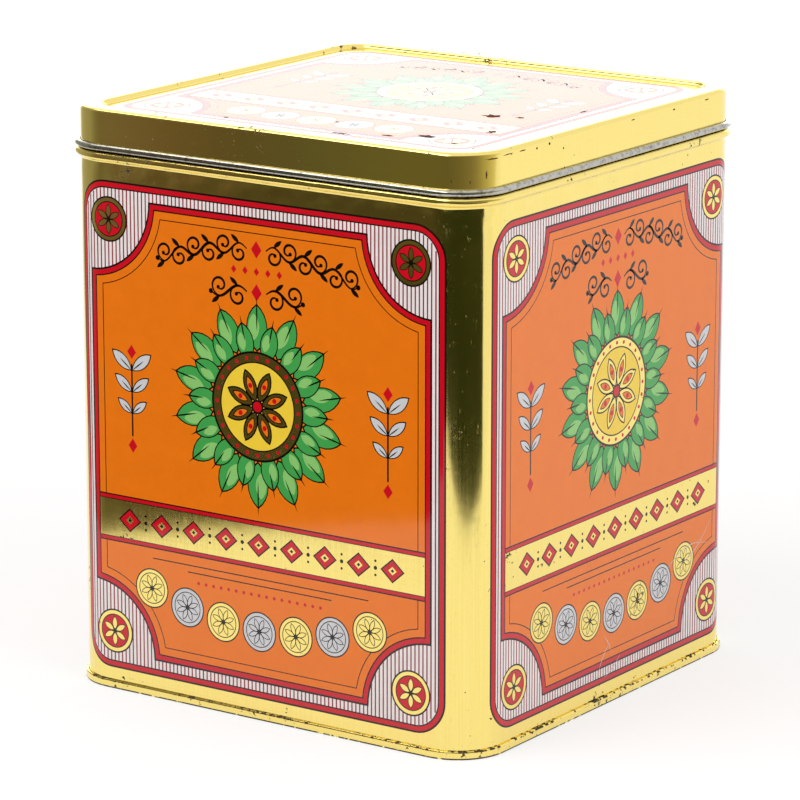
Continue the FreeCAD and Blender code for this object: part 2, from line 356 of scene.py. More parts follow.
@dataclass(frozen=True)
class LacqueredTinplate:
    """Tin-plated steel under a gold stoving lacquer, rolled and then baked.

    The rolling leaves fine parallel lines that stretch a reflection across them, the lacquer gives a clear
    yellow metal, and chipped edges show dull brown steel; along the base's bottom edge that brown is partly
    painted contact shade.
    Where a bead is rolled in, the wall under it ripples more and more between two heights.
    """

    name: str
    grain: Grain
    colour: str = "#fbe88f"
    deep: str = "#f3d873"
    wear_and_shade: tuple[WearAndShadeBand, ...] = ()
    roughness: float = 0.1
    rippled: tuple[float, float] | None = None

    def build(self) -> bpy.types.Material:
        """Makes the material."""
        material, tree = new_material(self.name)
        place = add_node(tree, "ShaderNodeTexCoord").outputs["Object"]
        lines = self._lines(tree, place)
        normal = self._relief(tree, place, lines)
        tone = add_node(tree, "ShaderNodeMapRange", {"From Min": 0.1, "From Max": 0.9}, {"Value": lines})
        colour = add_tint(tree, tone.outputs[0], self.colour, self.deep)
        rough = add_node(tree, "ShaderNodeMapRange",
                         {"From Min": 0.25, "From Max": 0.75, "To Min": self.roughness - 0.03,
                          "To Max": self.roughness + 0.05}, {"Value": lines}).outputs[0]
        rough = add_sum(tree, rough, self._rubs(tree, place))
        worn_and_shaded = self._worn_and_shaded(tree, place)
        # Dull brown of bare steel where chipped; on the base's bottom edge this brown is partly painted
        # contact shade.
        colour = add_node(tree, "ShaderNodeMix", {"data_type": "RGBA", 7: linear("#3b2a18")},
                          {0: worn_and_shaded, 6: colour}).outputs[2]
        rough = add_node(tree, "ShaderNodeMix", {"data_type": "FLOAT", 3: 0.8},
                         {0: worn_and_shaded, 2: rough}).outputs[0]
        metal = add_node(tree, "ShaderNodeMath", {"operation": "SUBTRACT", 0: 1.0}, {1: worn_and_shaded}).outputs[0]
        shader = add_node(tree, "ShaderNodeBsdfPrincipled", {"Coat Weight": 0.15, "Coat Roughness": 0.06},
                          {"Base Color": colour, "Roughness": rough, "Metallic": metal, "Normal": normal})
        end_tree(tree, shader)
        return material

    def _lines(self, tree: bpy.types.NodeTree, place: bpy.types.NodeSocket) -> bpy.types.NodeSocket:
        """Adds the nodes for the fine lines of the rolling, with a weaker set across them.

        Args:
            tree: the material's nodes.
            place: the place on the piece.

        Returns:
            The pattern of the lines.
        """
        sets = []
        for spacing in (self.grain.value, self.grain.value[::-1]):
            lined = add_node(tree, "ShaderNodeMapping", {"Scale": [1 / (gap * MM) for gap in spacing]},
                             {"Vector": place})
            sets.append(add_noise(tree, lined.outputs[0], 1.0, 3.0, 0.6))
        return add_node(tree, "ShaderNodeMix", {"data_type": "FLOAT", 0: 0.35},
                        {2: sets[0], 3: sets[1]}).outputs[0]

    def _relief(self, tree: bpy.types.NodeTree, place: bpy.types.NodeSocket,
                lines: bpy.types.NodeSocket) -> bpy.types.NodeSocket:
        """Adds the nodes for the sheet's unevenness: slow waves, ripples under the bead and the fine lines.

        Args:
            tree: the material's nodes.
            place: the place on the piece.
            lines: the pattern of the fine lines.

        Returns:
            The uneven normal.
        """
        layers = [(0.5, 0.16, add_noise(tree, place, 1 / (30 * MM), 3.0))]
        if self.rippled:
            layers.append((0.6, 1.2, self._ripples(tree, place)))
        layers.append((0.3, 0.002, lines))
        links = {}
        for strength, depth, pattern in layers:
            bump = add_node(tree, "ShaderNodeBump", {"Strength": strength, "Distance": depth * MM},
                            {"Height": pattern, **links})
            links = {"Normal": bump.outputs[0]}
        return bump.outputs[0]

    def _rubs(self, tree: bpy.types.NodeTree, place: bpy.types.NodeSocket) -> bpy.types.NodeSocket:
        """Adds the nodes for the short upright marks where handling has dulled the lacquer.

        Args:
            tree: the material's nodes.
            place: the place on the piece.

        Returns:
            What the marks add to the roughness.
        """
        drawn = add_node(tree, "ShaderNodeMapping", {"Scale": [1 / (size * MM) for size in (0.5, 0.5, 4.0)]},
                         {"Vector": place})
        marks = add_noise(tree, drawn.outputs[0], 1.0, 3.0, 0.7)
        return add_node(tree, "ShaderNodeMapRange", {"From Min": 0.62, "From Max": 0.75, "To Max": 0.22},
                        {"Value": marks}).outputs[0]

    def _ripples(self, tree: bpy.types.NodeTree, place: bpy.types.NodeSocket) -> bpy.types.NodeSocket:
        """Adds the nodes for the ripples that rolling the bead leaves in the wall under it.

        Args:
            tree: the material's nodes.
            place: the place on the piece.

        Returns:
            The ripples' height, from 0 to 1.
        """
        height = add_node(tree, "ShaderNodeSeparateXYZ", {}, {0: place}).outputs["Z"]
        low, high = self.rippled
        near = add_node(tree, "ShaderNodeMapRange",
                        {"From Min": low * MM, "From Max": high * MM, "interpolation_type": "SMOOTHSTEP"},
                        {"Value": height}).outputs[0]
        waves = add_noise(tree, place, 1 / (11 * MM), 1.5)
        return add_node(tree, "ShaderNodeMath", {"operation": "MULTIPLY"}, {0: near, 1: waves}).outputs[0]

    def _worn_and_shaded(self, tree: bpy.types.NodeTree, place: bpy.types.NodeSocket) -> bpy.types.NodeSocket:
        """Adds the nodes that say where the lacquer is chipped, and where painted contact shade darkens the
        base's bottom edge.

        Args:
            tree: the material's nodes.
            place: the place on the piece.

        Returns:
            1 on bare steel and painted shade, and 0 on lacquer.
        """
        height = add_node(tree, "ShaderNodeSeparateXYZ", {}, {0: place}).outputs["Z"]
        specks = add_noise(tree, place, 1 / (2.6 * MM), 4.0, 0.65)
        patches = add_noise(tree, place, 1 / (26 * MM), 1.0)
        odds = add_node(tree, "ShaderNodeMath", {"operation": "MULTIPLY_ADD", 1: 0.5},
                        {0: patches, 2: specks}).outputs[0]
        for band in self.wear_and_shade:
            above = add_node(tree, "ShaderNodeMath", {"operation": "GREATER_THAN", 1: band.low * MM},
                             {0: height})
            below = add_node(tree, "ShaderNodeMath", {"operation": "LESS_THAN", 1: band.high * MM},
                             {0: height})
            inside = add_node(tree, "ShaderNodeMath", {"operation": "MULTIPLY"},
                              {0: above.outputs[0], 1: below.outputs[0]})
            odds = add_node(tree, "ShaderNodeMath", {"operation": "MULTIPLY_ADD", 1: band.amount},
                            {0: inside.outputs[0], 2: odds}).outputs[0]
        return add_node(tree, "ShaderNodeMapRange", {"From Min": 0.98, "From Max": 1.0},
                        {"Value": odds}).outputs[0]


@dataclass(frozen=True)
class BareTinplate:
    """Tin-plated steel with no lacquer: a soft grey-white metal with the faint clouds of the tin's crystals.

    Handling leaves brown soil on it. Inside a closed tin a dull film of oxide makes it less of a mirror.
    """

    name: str = "bare_tinplate"
    colour: str = "#bcbbb6"
    metallic: float = 1.0
    soil: float = 1.0

    def build(self) -> bpy.types.Material:
        """Makes the material."""
        material, tree = new_material(self.name)
        place = add_node(tree, "ShaderNodeTexCoord").outputs["Object"]
        crystals = add_node(tree, "ShaderNodeTexVoronoi", {"Scale": 1 / (7 * MM)}, {"Vector": place})
        grey = add_node(tree, "ShaderNodeRGBToBW", {}, {0: crystals.outputs["Color"]}).outputs[0]
        soiled = add_node(tree, "ShaderNodeMapRange",
                          {"From Min": 0.48, "From Max": 0.72, "To Max": self.soil},
                          {"Value": add_noise(tree, place, 1 / (2 * MM), 6.0, 0.7)}).outputs[0]
        colour = add_tint(tree, soiled, self.colour, "#6f604a")
        rough = add_node(tree, "ShaderNodeMapRange", {"To Min": 0.1, "To Max": 0.18},
                         {"Value": grey}).outputs[0]
        shader = add_node(tree, "ShaderNodeBsdfPrincipled", {"Metallic": self.metallic},
                          {"Base Color": colour, "Roughness": rough})
        end_tree(tree, shader)
        return material


@dataclass(frozen=True)
class LithoInk:
    """Offset ink on tinplate, stoved and varnished: an even colour with a thin clear gloss."""

    name: str
    colour: str
    rough: float = 0.08

    def build(self) -> bpy.types.Material:
        """Makes the material."""
        material, tree = new_material(self.name)
        place = add_node(tree, "ShaderNodeTexCoord").outputs["Object"]
        shade = add_node(tree, "ShaderNodeMapRange",
                         {"From Min": 0.3, "From Max": 0.7, "To Min": 0.965, "To Max": 1.03},
                         {"Value": add_noise(tree, place, 1 / (9 * MM), 6.0, 0.7)})
        colour = add_node(tree, "ShaderNodeHueSaturation", {"Color": linear(self.colour)},
                          {"Value": shade.outputs[0]}).outputs[0]
        bump = add_node(tree, "ShaderNodeBump", {"Strength": 0.5, "Distance": 0.12 * MM},
                        {"Height": add_noise(tree, place, 1 / (45 * MM), 2.0)})
        shader = add_node(tree, "ShaderNodeBsdfPrincipled",
                          {"Specular IOR Level": 0.0, "Roughness": 0.6, "Coat Weight": 1.0, "Coat IOR": 1.52,
                           "Coat Roughness": self.rough},
                          {"Base Color": colour, "Normal": bump.outputs[0], "Coat Normal": bump.outputs[0]})
        end_tree(tree, shader)
        return material


@dataclass(frozen=True)
class RustedSteel:
    """Steel that has rusted where the tin and the lacquer are gone: dull, dark brown and mottled."""

    name: str = "rusted_steel"

    def build(self) -> bpy.types.Material:
        """Makes the material."""
        material, tree = new_material(self.name)
        place = add_node(tree, "ShaderNodeTexCoord").outputs["Object"]
        colour = add_tint(tree, add_noise(tree, place, 1 / (1.5 * MM), 4.0), "#2c1c12", "#6b3f22")
        shader = add_node(tree, "ShaderNodeBsdfPrincipled", {"Roughness": 0.9, "Specular IOR Level": 0.15},
                          {"Base Color": colour})
        end_tree(tree, shader)
        return material


class Finish(Enum):
    """The colours of the print. Gold is the lacquered metal, left bare of ink, and rust is bare steel."""

    GROUND = LithoInk("litho_ink_pale_ground", "#e4dfdd")
    BURGUNDY = LithoInk("litho_ink_burgundy", "#8a1a26")
    BLACK = LithoInk("litho_ink_black", "#0c0605")
    RED = LithoInk("litho_ink_red", "#c6041c")
    ORANGE = LithoInk("litho_ink_orange", "#e5730c")
    GREEN = LithoInk("litho_ink_green", "#3f9c4a")
    PALE_GREEN = LithoInk("litho_ink_pale_green", "#86c06c")
    GREY = LithoInk("litho_ink_silver_grey", "#c9c9cb")
    YELLOW = LithoInk("litho_ink_yellow", "#ecc93b")
    GOLD = LacqueredTinplate("gold_lacquer_through_print", Grain.UPRIGHT)
    RUST = RustedSteel()


# ---------------------------------------------------------------------------------------------
# The three sheets


@dataclass
class TinSizes:
    """Driving sizes of the tin, in millimetres, with the outer ones read from the solids."""

    plate: float = 0.32
    corner: float = 18.0
    seam_stand: float = 1.32
    lid_recess: float = 1.6
    top: float = field(init=False)
    half: float = field(init=False)

    def __post_init__(self) -> None:
        """Reads the height of the lid's rim, and how far the walls stand from the middle."""
        self.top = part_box("lid")[1].z / MM
        self.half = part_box("base_end")[1].x / MM - self.seam_stand

    @property
    def axis(self) -> float:
        """How far out the upright axis of each corner stands, both ways."""
        return self.half - self.corner

    @property
    def lid_panel(self) -> float:
        """The height of the lid's sunk panel."""
        return self.top - self.lid_recess


class BentSheet:
    """A sheet whose section is run round the tin: along each side and about each corner's axis."""

    CORNER_STEPS = 16
    WELD = 0.004

    def __init__(self, sizes: TinSizes, name: str) -> None:
        """Keeps the sizes and the piece's name."""
        self.sizes = sizes
        self.name = name

    def scriber(self, u: float, z: float) -> Scriber:
        """Starts the section at a distance out and a height, where a side meets its corner."""
        return Scriber(self.name, u, z, self.sizes.axis)

    def sweep(self) -> None:
        """Runs the section, which is in edit mode, round the four corners and along the four sides."""
        a, length = self.sizes.axis * MM, 2 * self.sizes.axis * MM
        bpy.ops.mesh.select_all(action="SELECT")
        for sx, sy in ((1, 1), (-1, 1), (-1, -1), (1, -1)):
            bpy.ops.mesh.spin(steps=self.CORNER_STEPS, angle=math.radians(-90), center=(sx * a, sy * a, 0),
                              axis=(0, 0, 1))
            run = (-length * (sx == sy) * sx, -length * (sx != sy) * sy, 0.0)
            bpy.ops.mesh.extrude_region_move(TRANSFORM_OT_translate={"value": run})
        bpy.ops.mesh.select_all(action="SELECT")
        bpy.ops.mesh.remove_doubles(threshold=self.WELD * MM)

    def fill_middle(self, height: float) -> None:
        """Fills the square that the sides leave in the middle of a panel.

        Args:
            height: the panel's height.
        """
        bpy.ops.mesh.select_all(action="DESELECT")
        bpy.ops.object.mode_set(mode="OBJECT")
        mesh, inner = bpy.context.object.data, (self.sizes.axis + 0.01) * MM
        for vertex in mesh.vertices:
            x, y, z = vertex.co
            vertex.select = abs(x) < inner and abs(y) < inner and abs(z - height * MM) < 0.01 * MM
        bpy.ops.object.mode_set(mode="EDIT")
        bpy.ops.mesh.select_mode(type="VERT")
        bpy.ops.mesh.edge_face_add()

    def finish(self, outward: Callable[[bpy.types.MeshPolygon], float], outside: bpy.types.Material,
               inside: bpy.types.Material) -> bpy.types.Object:
        """Turns the faces outwards, gives the sheet its thickness and smooths it.

        Args:
            outward: how far a face points the right way, or 0 where that says nothing.
            outside: the printed face's material.
            inside: the material of the other face and of the cut edges.

        Returns:
            The sheet.
        """
        bpy.ops.mesh.select_all(action="SELECT")
        bpy.ops.mesh.normals_make_consistent(inside=False)
        bpy.ops.object.mode_set(mode="OBJECT")
        obj = bpy.context.object
        if sum(outward(face) * face.area for face in obj.data.polygons) < 0:
            obj.data.flip_normals()
        obj.data.materials.append(outside)
        obj.data.materials.append(inside)
        apply_modifier(obj, "SOLIDIFY", thickness=self.sizes.plate * MM, offset=-1.0, use_even_offset=True,
                       use_rim=True, material_offset=1, material_offset_rim=1)
        activate([obj])
        bpy.ops.object.shade_smooth_by_angle(angle=math.radians(40))
        return obj


@dataclass
class Lid:
    """The drawn lid: sunk panel, raised rim, skirt, and a hem rolled outwards to show its bare inner face."""

    sizes: TinSizes
    depth: float = 15.0
    edge: float = 1.6
    rim: float = 7.0
    crown: float = 0.8
    foot: float = 1.2
    hem: float = 1.25
    hem_sweep: float = 305.0

    def build(self, outside: bpy.types.Material, inside: bpy.types.Material) -> bpy.types.Object:
        """Makes the lid's sheet.

        Args:
            outside: the finish of its outer face.
            inside: the finish of its inner face and of the cut edges.

        Returns:
            The sheet.
        """
        s, sheet = self.sizes, BentSheet(self.sizes, "lid_sheet")
        curl = self.hem - s.plate
        centre = (s.half + curl, s.top - self.depth + self.hem)
        start = math.radians(180 + self.hem_sweep)
        pen = sheet.scriber(centre[0] + curl * math.cos(start), centre[1] + curl * math.sin(start))
        pen.about(*centre, -self.hem_sweep, 26)
        pen.to(s.half, s.top - self.edge)
        pen.about(s.half - self.edge, s.top - self.edge, 90, 8)
        crown_u = s.half - self.rim
        pen.to(crown_u, s.top)
        turn = math.degrees(math.acos(1 - s.lid_recess / (self.crown + self.foot)))
        pen.about(crown_u, s.top - self.crown, turn, 6)
        foot_u = crown_u - (self.crown + self.foot) * math.sin(math.radians(turn))
        pen.about(foot_u, s.lid_panel + self.foot, -turn, 6)
        pen.to(s.axis, s.lid_panel)
        sheet.sweep()
        sheet.fill_middle(s.lid_panel)
        return sheet.finish(lambda face: face.normal.z * (face.center.z > (s.top - 2) * MM), outside, inside)


@dataclass
class BodyShell:
    """The wrapped body: hook in the bottom seam, wall, stop bead, neck, and a mouth curled inwards."""

    sizes: TinSizes
    bead_z: float = 199.6
    bead_depth: float = 2.0
    nose: float = 1.6
    foot: float = 1.3
    neck_inset: float = 0.62
    mouth_z: float = 215.88
    curl: float = 1.0
    curl_sweep: float = 290.0
    fold: float = 0.28
    fold_z: float = 1.04
    hook_z: float = 2.5
    wall_rings: tuple[float, ...] = (40.0, 80.0, 120.0, 160.0)

    def build(self, outside: bpy.types.Material, inside: bpy.types.Material) -> bpy.types.Object:
        """Makes the body's sheet.

        Args:
            outside: the finish of its outer face.
            inside: the finish of its inner face and of the cut edges.

        Returns:
            The sheet.
        """
        s, sheet = self.sizes, BentSheet(self.sizes, "body_sheet")
        reach = self.foot + self.nose
        nose_u = s.half + self.bead_depth - self.nose
        neck_u = s.half - self.neck_inset
        rise = math.acos((s.half + self.foot - nose_u) / reach)
        fall = math.acos((neck_u + self.foot - nose_u) / reach)
        pen = sheet.scriber(s.half + 2 * self.fold, self.hook_z)
        pen.to(s.half + 2 * self.fold, self.fold_z)
        pen.about(s.half + self.fold, self.fold_z, -180, 8)
        low = self.bead_z - reach * math.sin(rise)
        for height in (*self.wall_rings, low):
            pen.to(s.half, height)
        pen.about(s.half + self.foot, low, -math.degrees(rise), 8)
        pen.about(nose_u, self.bead_z, math.degrees(rise + fall), 14)
        pen.about(neck_u + self.foot, self.bead_z + reach * math.sin(fall), -math.degrees(fall), 8)
        pen.to(neck_u, self.mouth_z - self.curl)
        pen.about(neck_u - self.curl, self.mouth_z - self.curl, self.curl_sweep, 20)
        sheet.sweep()
        wall = (s.half - 0.1) * MM

        def outward(face: bpy.types.MeshPolygon) -> float:
            """How far a face of the front wall points forwards."""
            return -face.normal.y * (face.center.y < -wall and 10 * MM < face.center.z < 190 * MM)

        return sheet.finish(outward, outside, inside)


@dataclass
class BaseEnd:
    """The stamped bottom: panel with a step, a wall down to the ground, and a seam round the body's hook."""

    sizes: TinSizes
    recess: float = 4.2
    step_rise: float = 0.8
    step: float = 1.2
    step_inset: float = 13.0
    bend: float = 0.5
    fold: float = 0.6
    seam_height: float = 3.2
    chuck_inset: float = 0.76
    hook_z: float = 1.14

    def build(self, outside: bpy.types.Material, inside: bpy.types.Material) -> bpy.types.Object:
        """Makes the bottom's sheet.

        Args:
            outside: the finish of its outer face.
            inside: the finish of its inner face and of the cut edges.

        Returns:
            The sheet.
        """
        s, sheet = self.sizes, BentSheet(self.sizes, "base_sheet")
        panel = self.recess + self.step_rise
        step_u, chuck_u, seam_u = s.half - self.step_inset, s.half - self.chuck_inset, s.half + s.seam_stand
        turn = math.degrees(math.acos(1 - self.step_rise / (2 * self.step)))
        pen = sheet.scriber(s.axis, panel)
        pen.to(step_u, panel)
        pen.about(step_u, panel - self.step, -turn, 5)
        foot_u = step_u + 2 * self.step * math.sin(math.radians(turn))
        pen.about(foot_u, self.recess + self.step, turn, 5)
        pen.to(chuck_u - self.bend, self.recess)
        pen.about(chuck_u - self.bend, self.recess - self.bend, -90, 5)
        pen.to(chuck_u, self.fold)
        pen.about(chuck_u + self.fold, self.fold, 90, 5)
        pen.to(seam_u - self.fold, 0.0)
        pen.about(seam_u - self.fold, self.fold, 90, 6)
        top = self.seam_height - self.fold
        pen.to(seam_u, top)
        pen.about(seam_u - self.fold, top, 180, 10)
        pen.to(seam_u - 2 * self.fold, self.hook_z)
        sheet.sweep()
        sheet.fill_middle(panel)
        return sheet.finish(lambda face: -face.normal.z * (face.center.z > 4 * MM), outside, inside)


# ---------------------------------------------------------------------------------------------
# The print, drawn flat in the plane y = 0 and seen from -Y


Path = Callable[[float], tuple[float, float]]
Spot = tuple[float, float, float]
TURN_UP = Matrix.Rotation(math.radians(-90), 4, "X")
HERE = (0.0, 0.0)


class Level(IntEnum):
    """How far each run of the press stands proud of the sheet, in steps of one film of ink."""

    FRAME = 0
    STRIPES = 4
    CARTOUCHE = 5
    LINE = 9
    MOTIF = 11
    STAR = 23
    WEAR = 34


def on_circle(radius: float, angle: float) -> tuple[float, float]:
    """Gives the point at a radius and an angle in degrees."""
    return radius * math.cos(math.radians(angle)), radius * math.sin(math.radians(angle))


def stamp_matrix(x: float, z: float, angle: float) -> Matrix:
    """Gives the move to a place in the flat print, in millimetres, with a turn in degrees."""
    return Matrix.Translation((x * MM, 0.0, z * MM)) @ Matrix.Rotation(-math.radians(angle), 4, "Y")


@dataclass
class Film:
    """Shapes of one ink, laid down together at one level."""

    name: str
    ink: Finish
    level: int
    shapes: list[bpy.types.Object] = field(default_factory=list)

    def disc(self, x: float, z: float, radius: float, sides: int) -> None:
        """Adds a round shape.

        Args:
            x: its middle, across.
            z: its middle, up.
            radius: its radius.
            sides: how many sides it has.
        """
        deselect()
        bpy.ops.mesh.primitive_circle_add(vertices=sides, radius=radius * MM, fill_type="NGON",
                                          location=(x * MM, 0.0, z * MM),
                                          rotation=(math.radians(90), 0.0, 0.0))
        bpy.ops.object.transform_apply()
        self.shapes.append(bpy.context.object)

    def bar(self, x: float, z: float, width: float, height: float) -> None:
        """Adds an upright rectangle.

        Args:
            x: its middle, across.
            z: its middle, up.
            width: across.
            height: up.
        """
        left, right, low, high = x - width / 2, x + width / 2, z - height / 2, z + height / 2
        pen = Scriber(self.name, left, low, 0.0)
        self.shapes.append(pen.to(right, low).to(right, high).to(left, high).face())

    def lozenge(self, x: float, z: float, width: float, height: float) -> None:
        """Adds a lozenge about its middle."""
        pen = Scriber(self.name, x + width / 2, z, 0.0)
        self.shapes.append(pen.to(x, z + height / 2).to(x - width / 2, z).to(x, z - height / 2).face())

    def label(self, half_x: float, half_z: float, corner: float, inset: float,
              scooped: bool = False) -> None:
        """Adds a rectangle about the origin with rounded or scooped corners.

        Args:
            half_x: half its width before the inset.
            half_z: half its height before the inset.
            corner: the radius of its corners before the inset.
            inset: how far every edge moves inwards.
            scooped: True if its corners are hollow.
        """
        hx, hz = half_x - inset, half_z - inset
        radius = corner + inset if scooped else corner - inset
        lead = math.asin(inset / radius) if scooped else 0.0
        cut = radius * math.cos(lead) if scooped else radius
        centre_x, centre_z = (half_x, half_z) if scooped else (hx - radius, hz - radius)
        edge = centre_z - cut if scooped else centre_z
        pen = Scriber(self.name, hx, -edge, 0.0)
        sweep = -(90 - 2 * math.degrees(lead)) if scooped else 90.0
        flat = centre_x - cut if scooped else centre_x
        for sx, sz in ((1, 1), (-1, 1), (-1, -1), (1, -1)):
            pen.to(*((sx * hx, sz * edge) if sx == sz else (sx * flat, sz * hz)))
            pen.about(sx * centre_x, sz * centre_z, sweep, 14)
        self.shapes.append(pen.face())

    def leaf(self, x: float, z: float, length: float, width: float, angle: float, steps: int = 8) -> None:
        """Adds a leaf with two pointed ends.

        Args:
            x: its foot, across.
            z: its foot, up.
            length: from foot to tip.
            width: at its widest.
            angle: where it points, in degrees from across towards up.
            steps: how many stretches each edge has.
        """
        radius = (length ** 2 + width ** 2) / (4 * width)
        sweep = 2 * math.degrees(math.asin(length / 2 / radius))
        pen = Scriber(self.name, 0.0, 0.0, 0.0)
        pen.about(length / 2, radius - width / 2, sweep, steps)
        pen.about(length / 2, width / 2 - radius, sweep, steps)
        shape = pen.face()
        shape.data.transform(stamp_matrix(x, z, angle))
        self.shapes.append(shape)

    def stroke(self, path: Path, thin: float, thick: float, steps: int) -> None:
        """Adds a pen stroke that swells towards its middle.

        Args:
            path: gives the middle of the stroke for a share from 0 to 1 of its length.
            thin: its width at both ends.
            thick: its width at the middle.
            steps: how many stretches it has.
        """
        one, two = [], []
        for i in range(steps + 1):
            share = i / steps
            here = Vector(path(share))
            run = Vector(path(share + 0.001)) - Vector(path(share - 0.001))
            half = (thin + (thick - thin) * math.sin(math.pi * share)) / 2
            across = Vector((-run.y, run.x)).normalized() * half
            one.append(here + across)
            two.append(here - across)
        deselect()
        bpy.ops.mesh.primitive_grid_add(x_subdivisions=steps, y_subdivisions=1, size=MM)
        strip = bpy.context.object
        ordered = sorted(strip.data.vertices, key=lambda vertex: (round(vertex.co.y / MM, 3), vertex.co.x))
        for vertex, point in zip(ordered, one + two):
            vertex.co = (point.x * MM, 0.0, point.y * MM)
        self.shapes.append(strip)

    def fleck(self, x: float, z: float, width: float, height: float, seed: int) -> None:
        """Adds a ragged chip.

        Args:
            x: its middle, across.
            z: its middle, up.
            width: across.
            height: up.
            seed: chooses its outline.
        """
        corners, pen = 11, None
        for k in range(corners):
            ragged = 0.5 * (0.72 + 0.28 * math.sin(seed * 12.9 + k * 78.2))
            across, up = on_circle(ragged, 360 * k / corners)
            point = (x + width * across, z + height * up)
            pen = pen.to(*point) if pen else Scriber(self.name, *point, 0.0)
        self.shapes.append(pen.face())

    def stamp(self, places: Iterable[Spot]) -> None:
        """Puts a copy of all shapes so far at each place, and leaves the first shapes out.

        Args:
            places: across, up and the turn in degrees for each copy.
        """
        master = join(self.shapes, self.name)
        self.shapes = [moved_copy(master, stamp_matrix(*spot), self.name) for spot in places]
        bpy.data.objects.remove(master)


@dataclass
class Artwork:
    """A generic label: striped ground in a ruled frame, and a cartouche with a rosette, a band and discs.

    Lengths are millimetres, and heights are measured from the label's middle.
    """

    half_x: float
    half_z: float
    corner: float
    panel_x: float
    panel_z: float
    scoop: float
    rosette_z: float
    band_z: float
    discs_z: float
    scroll_z: float
    scroll_half: float
    scroll_rows: int = 2
    disc_reach: int = 3
    disc_curve: float = 0.0035
    small_print: bool = True
    rules: tuple[float, ...] = (0.0, 0.7, 2.4, 2.9)
    films: list[Film] = field(default_factory=list)

    def film(self, name: str, ink: Finish, level: int) -> Film:
        """Starts a film of ink."""
        self.films.append(Film(name, ink, level))
        return self.films[-1]

    def stack(self, level: int, rows: Iterable[tuple]) -> Iterator[tuple]:
        """Starts films that lie one on top of the other.

        Args:
            level: the level of the first film.
            rows: for each film its name, its ink and sizes.

        Yields:
            Each film with its sizes.
        """
        for i, (name, ink, *sizes) in enumerate(rows):
            yield self.film(name, ink, level + i), *sizes

    def draw(self) -> Iterator[Film]:
        """Draws the label part by part and yields its films."""
        for part in (self._frame, self._stripes, self._cartouche, self._roundels, self._band, self._scrolls,
                     self._rosette, self._side_drops, self._discs):
            part()
            yield from self.films
            self.films.clear()

    def _ruled(self, name: str, level: int, inner: tuple[str, Finish], shape: tuple[float, float, float],
               scooped: bool = False) -> None:
        """Draws a black, a red and a black rule, each inside the last, and the field that they hold.

        Args:
            name: the start of the rules' names.
            level: the level of the outer rule.
            inner: the name and the ink of the field.
            shape: half the width, half the height and the corner of the outer rule.
            scooped: True if the corners are hollow.
        """
        names = ((f"{name}_outer_rule", Finish.BLACK), (f"{name}_red_rule", Finish.RED),
                 (f"{name}_inner_rule", Finish.BLACK), inner)
        rows = [(*row, inset) for row, inset in zip(names, self.rules)]
        for film, inset in self.stack(level, rows):
            film.label(*shape, inset, scooped)

    def _rings(self, level: int, places: Iterable[Spot], sides: int, rows: Iterable[tuple]) -> None:
        """Draws discs one on top of the other at each place.

        Args:
            level: the level of the lowest disc.
            places: across, up and the turn of each pile.
            sides: how many sides the discs have.
            rows: for each disc its name, its ink and its radius, the widest first.
        """
        for film, radius in self.stack(level, rows):
            film.disc(*HERE, radius, sides)
            film.stamp(places)

    def _frame(self) -> None:
        """Draws the rules of the frame and the pale ground inside them."""
        shape = (self.half_x, self.half_z, self.corner)
        self._ruled("frame", Level.FRAME, ("pale_ground", Finish.GROUND), shape)

    def _stripes(self, pitch: float = 1.7, width: float = 0.56) -> None:
        """Draws the pinstripes, cut to the rounded corners of the frame.

        Args:
            pitch: how far the stripes are apart.
            width: how wide each is.
        """
        film = self.film("pinstripes", Finish.BURGUNDY, Level.STRIPES)
        inset = self.rules[-1]
        hx, hz, radius = self.half_x - inset, self.half_z - inset, self.corner - inset
        count = int((hx - 0.6) / pitch)
        for i in range(-count, count + 1):
            past = max(0.0, abs(i * pitch) + width / 2 - (hx - radius))
            half = hz - radius + math.sqrt(max(0.0, radius ** 2 - past ** 2))
            film.bar(i * pitch, 0.0, width, 2 * half)

    def _cartouche(self) -> None:
        """Draws the ruled cartouche with its orange field and a fine line inside it."""
        shape = (self.panel_x, self.panel_z, self.scoop)
        self._ruled("cartouche", Level.CARTOUCHE, ("cartouche_field", Finish.ORANGE), shape, scooped=True)
        line = (("cartouche_fine_line", Finish.BLACK, 5.6), ("cartouche_middle", Finish.ORANGE, 5.95))
        for film, inset in self.stack(Level.LINE, line):
            film.label(*shape, inset, scooped=True)

    def _roundels(self, margin: float = 14.2) -> None:
        """Draws a roundel with a six-petalled flower in each hollow corner.

        Args:
            margin: how far its middle is from the label's edges.
        """
        x, z = self.half_x - margin, self.half_z - margin
        places = [(sx * x, sz * z, 0.0) for sx in (-1, 1) for sz in (-1, 1)]
        self._rings(Level.LINE, places, 44, (
            ("roundel_outline", Finish.BLACK, 8.4), ("roundel_ring", Finish.GOLD, 7.8),
            ("roundel_line", Finish.BLACK, 6.5), ("roundel_field", Finish.RED, 6.1)))
        self._flower("roundel_flower", places, Level.LINE + 4, 6, 5.4, 2.5, Finish.GOLD)

    def _flower(self, name: str, places: list[Spot], level: int, petals: int, length: float, width: float,
                ink: Finish) -> None:
        """Draws flowers of leaf-shaped petals with a black outline and a dark eye.

        Args:
            name: the start of the films' names.
            places: across, up and the turn of each flower.
            level: the level of its lowest film.
            petals: how many petals it has.
            length: a petal's length.
            width: a petal's width.
            ink: the petals' ink.
        """
        rows = ((f"{name}_outline", Finish.BLACK, 0.0), (f"{name}_petals", ink, 0.62))
        for film, trim in self.stack(level, rows):
            for k in range(petals):
                angle = 360 * (k + 0.5) / petals
                foot = on_circle(0.3 + trim * 0.8, angle)
                film.leaf(*foot, length - trim * 1.5, width - trim, angle, 5)
            film.stamp(places)
        self._rings(level + 2, places, 16, ((f"{name}_eye", Finish.BLACK, width * 0.36),))

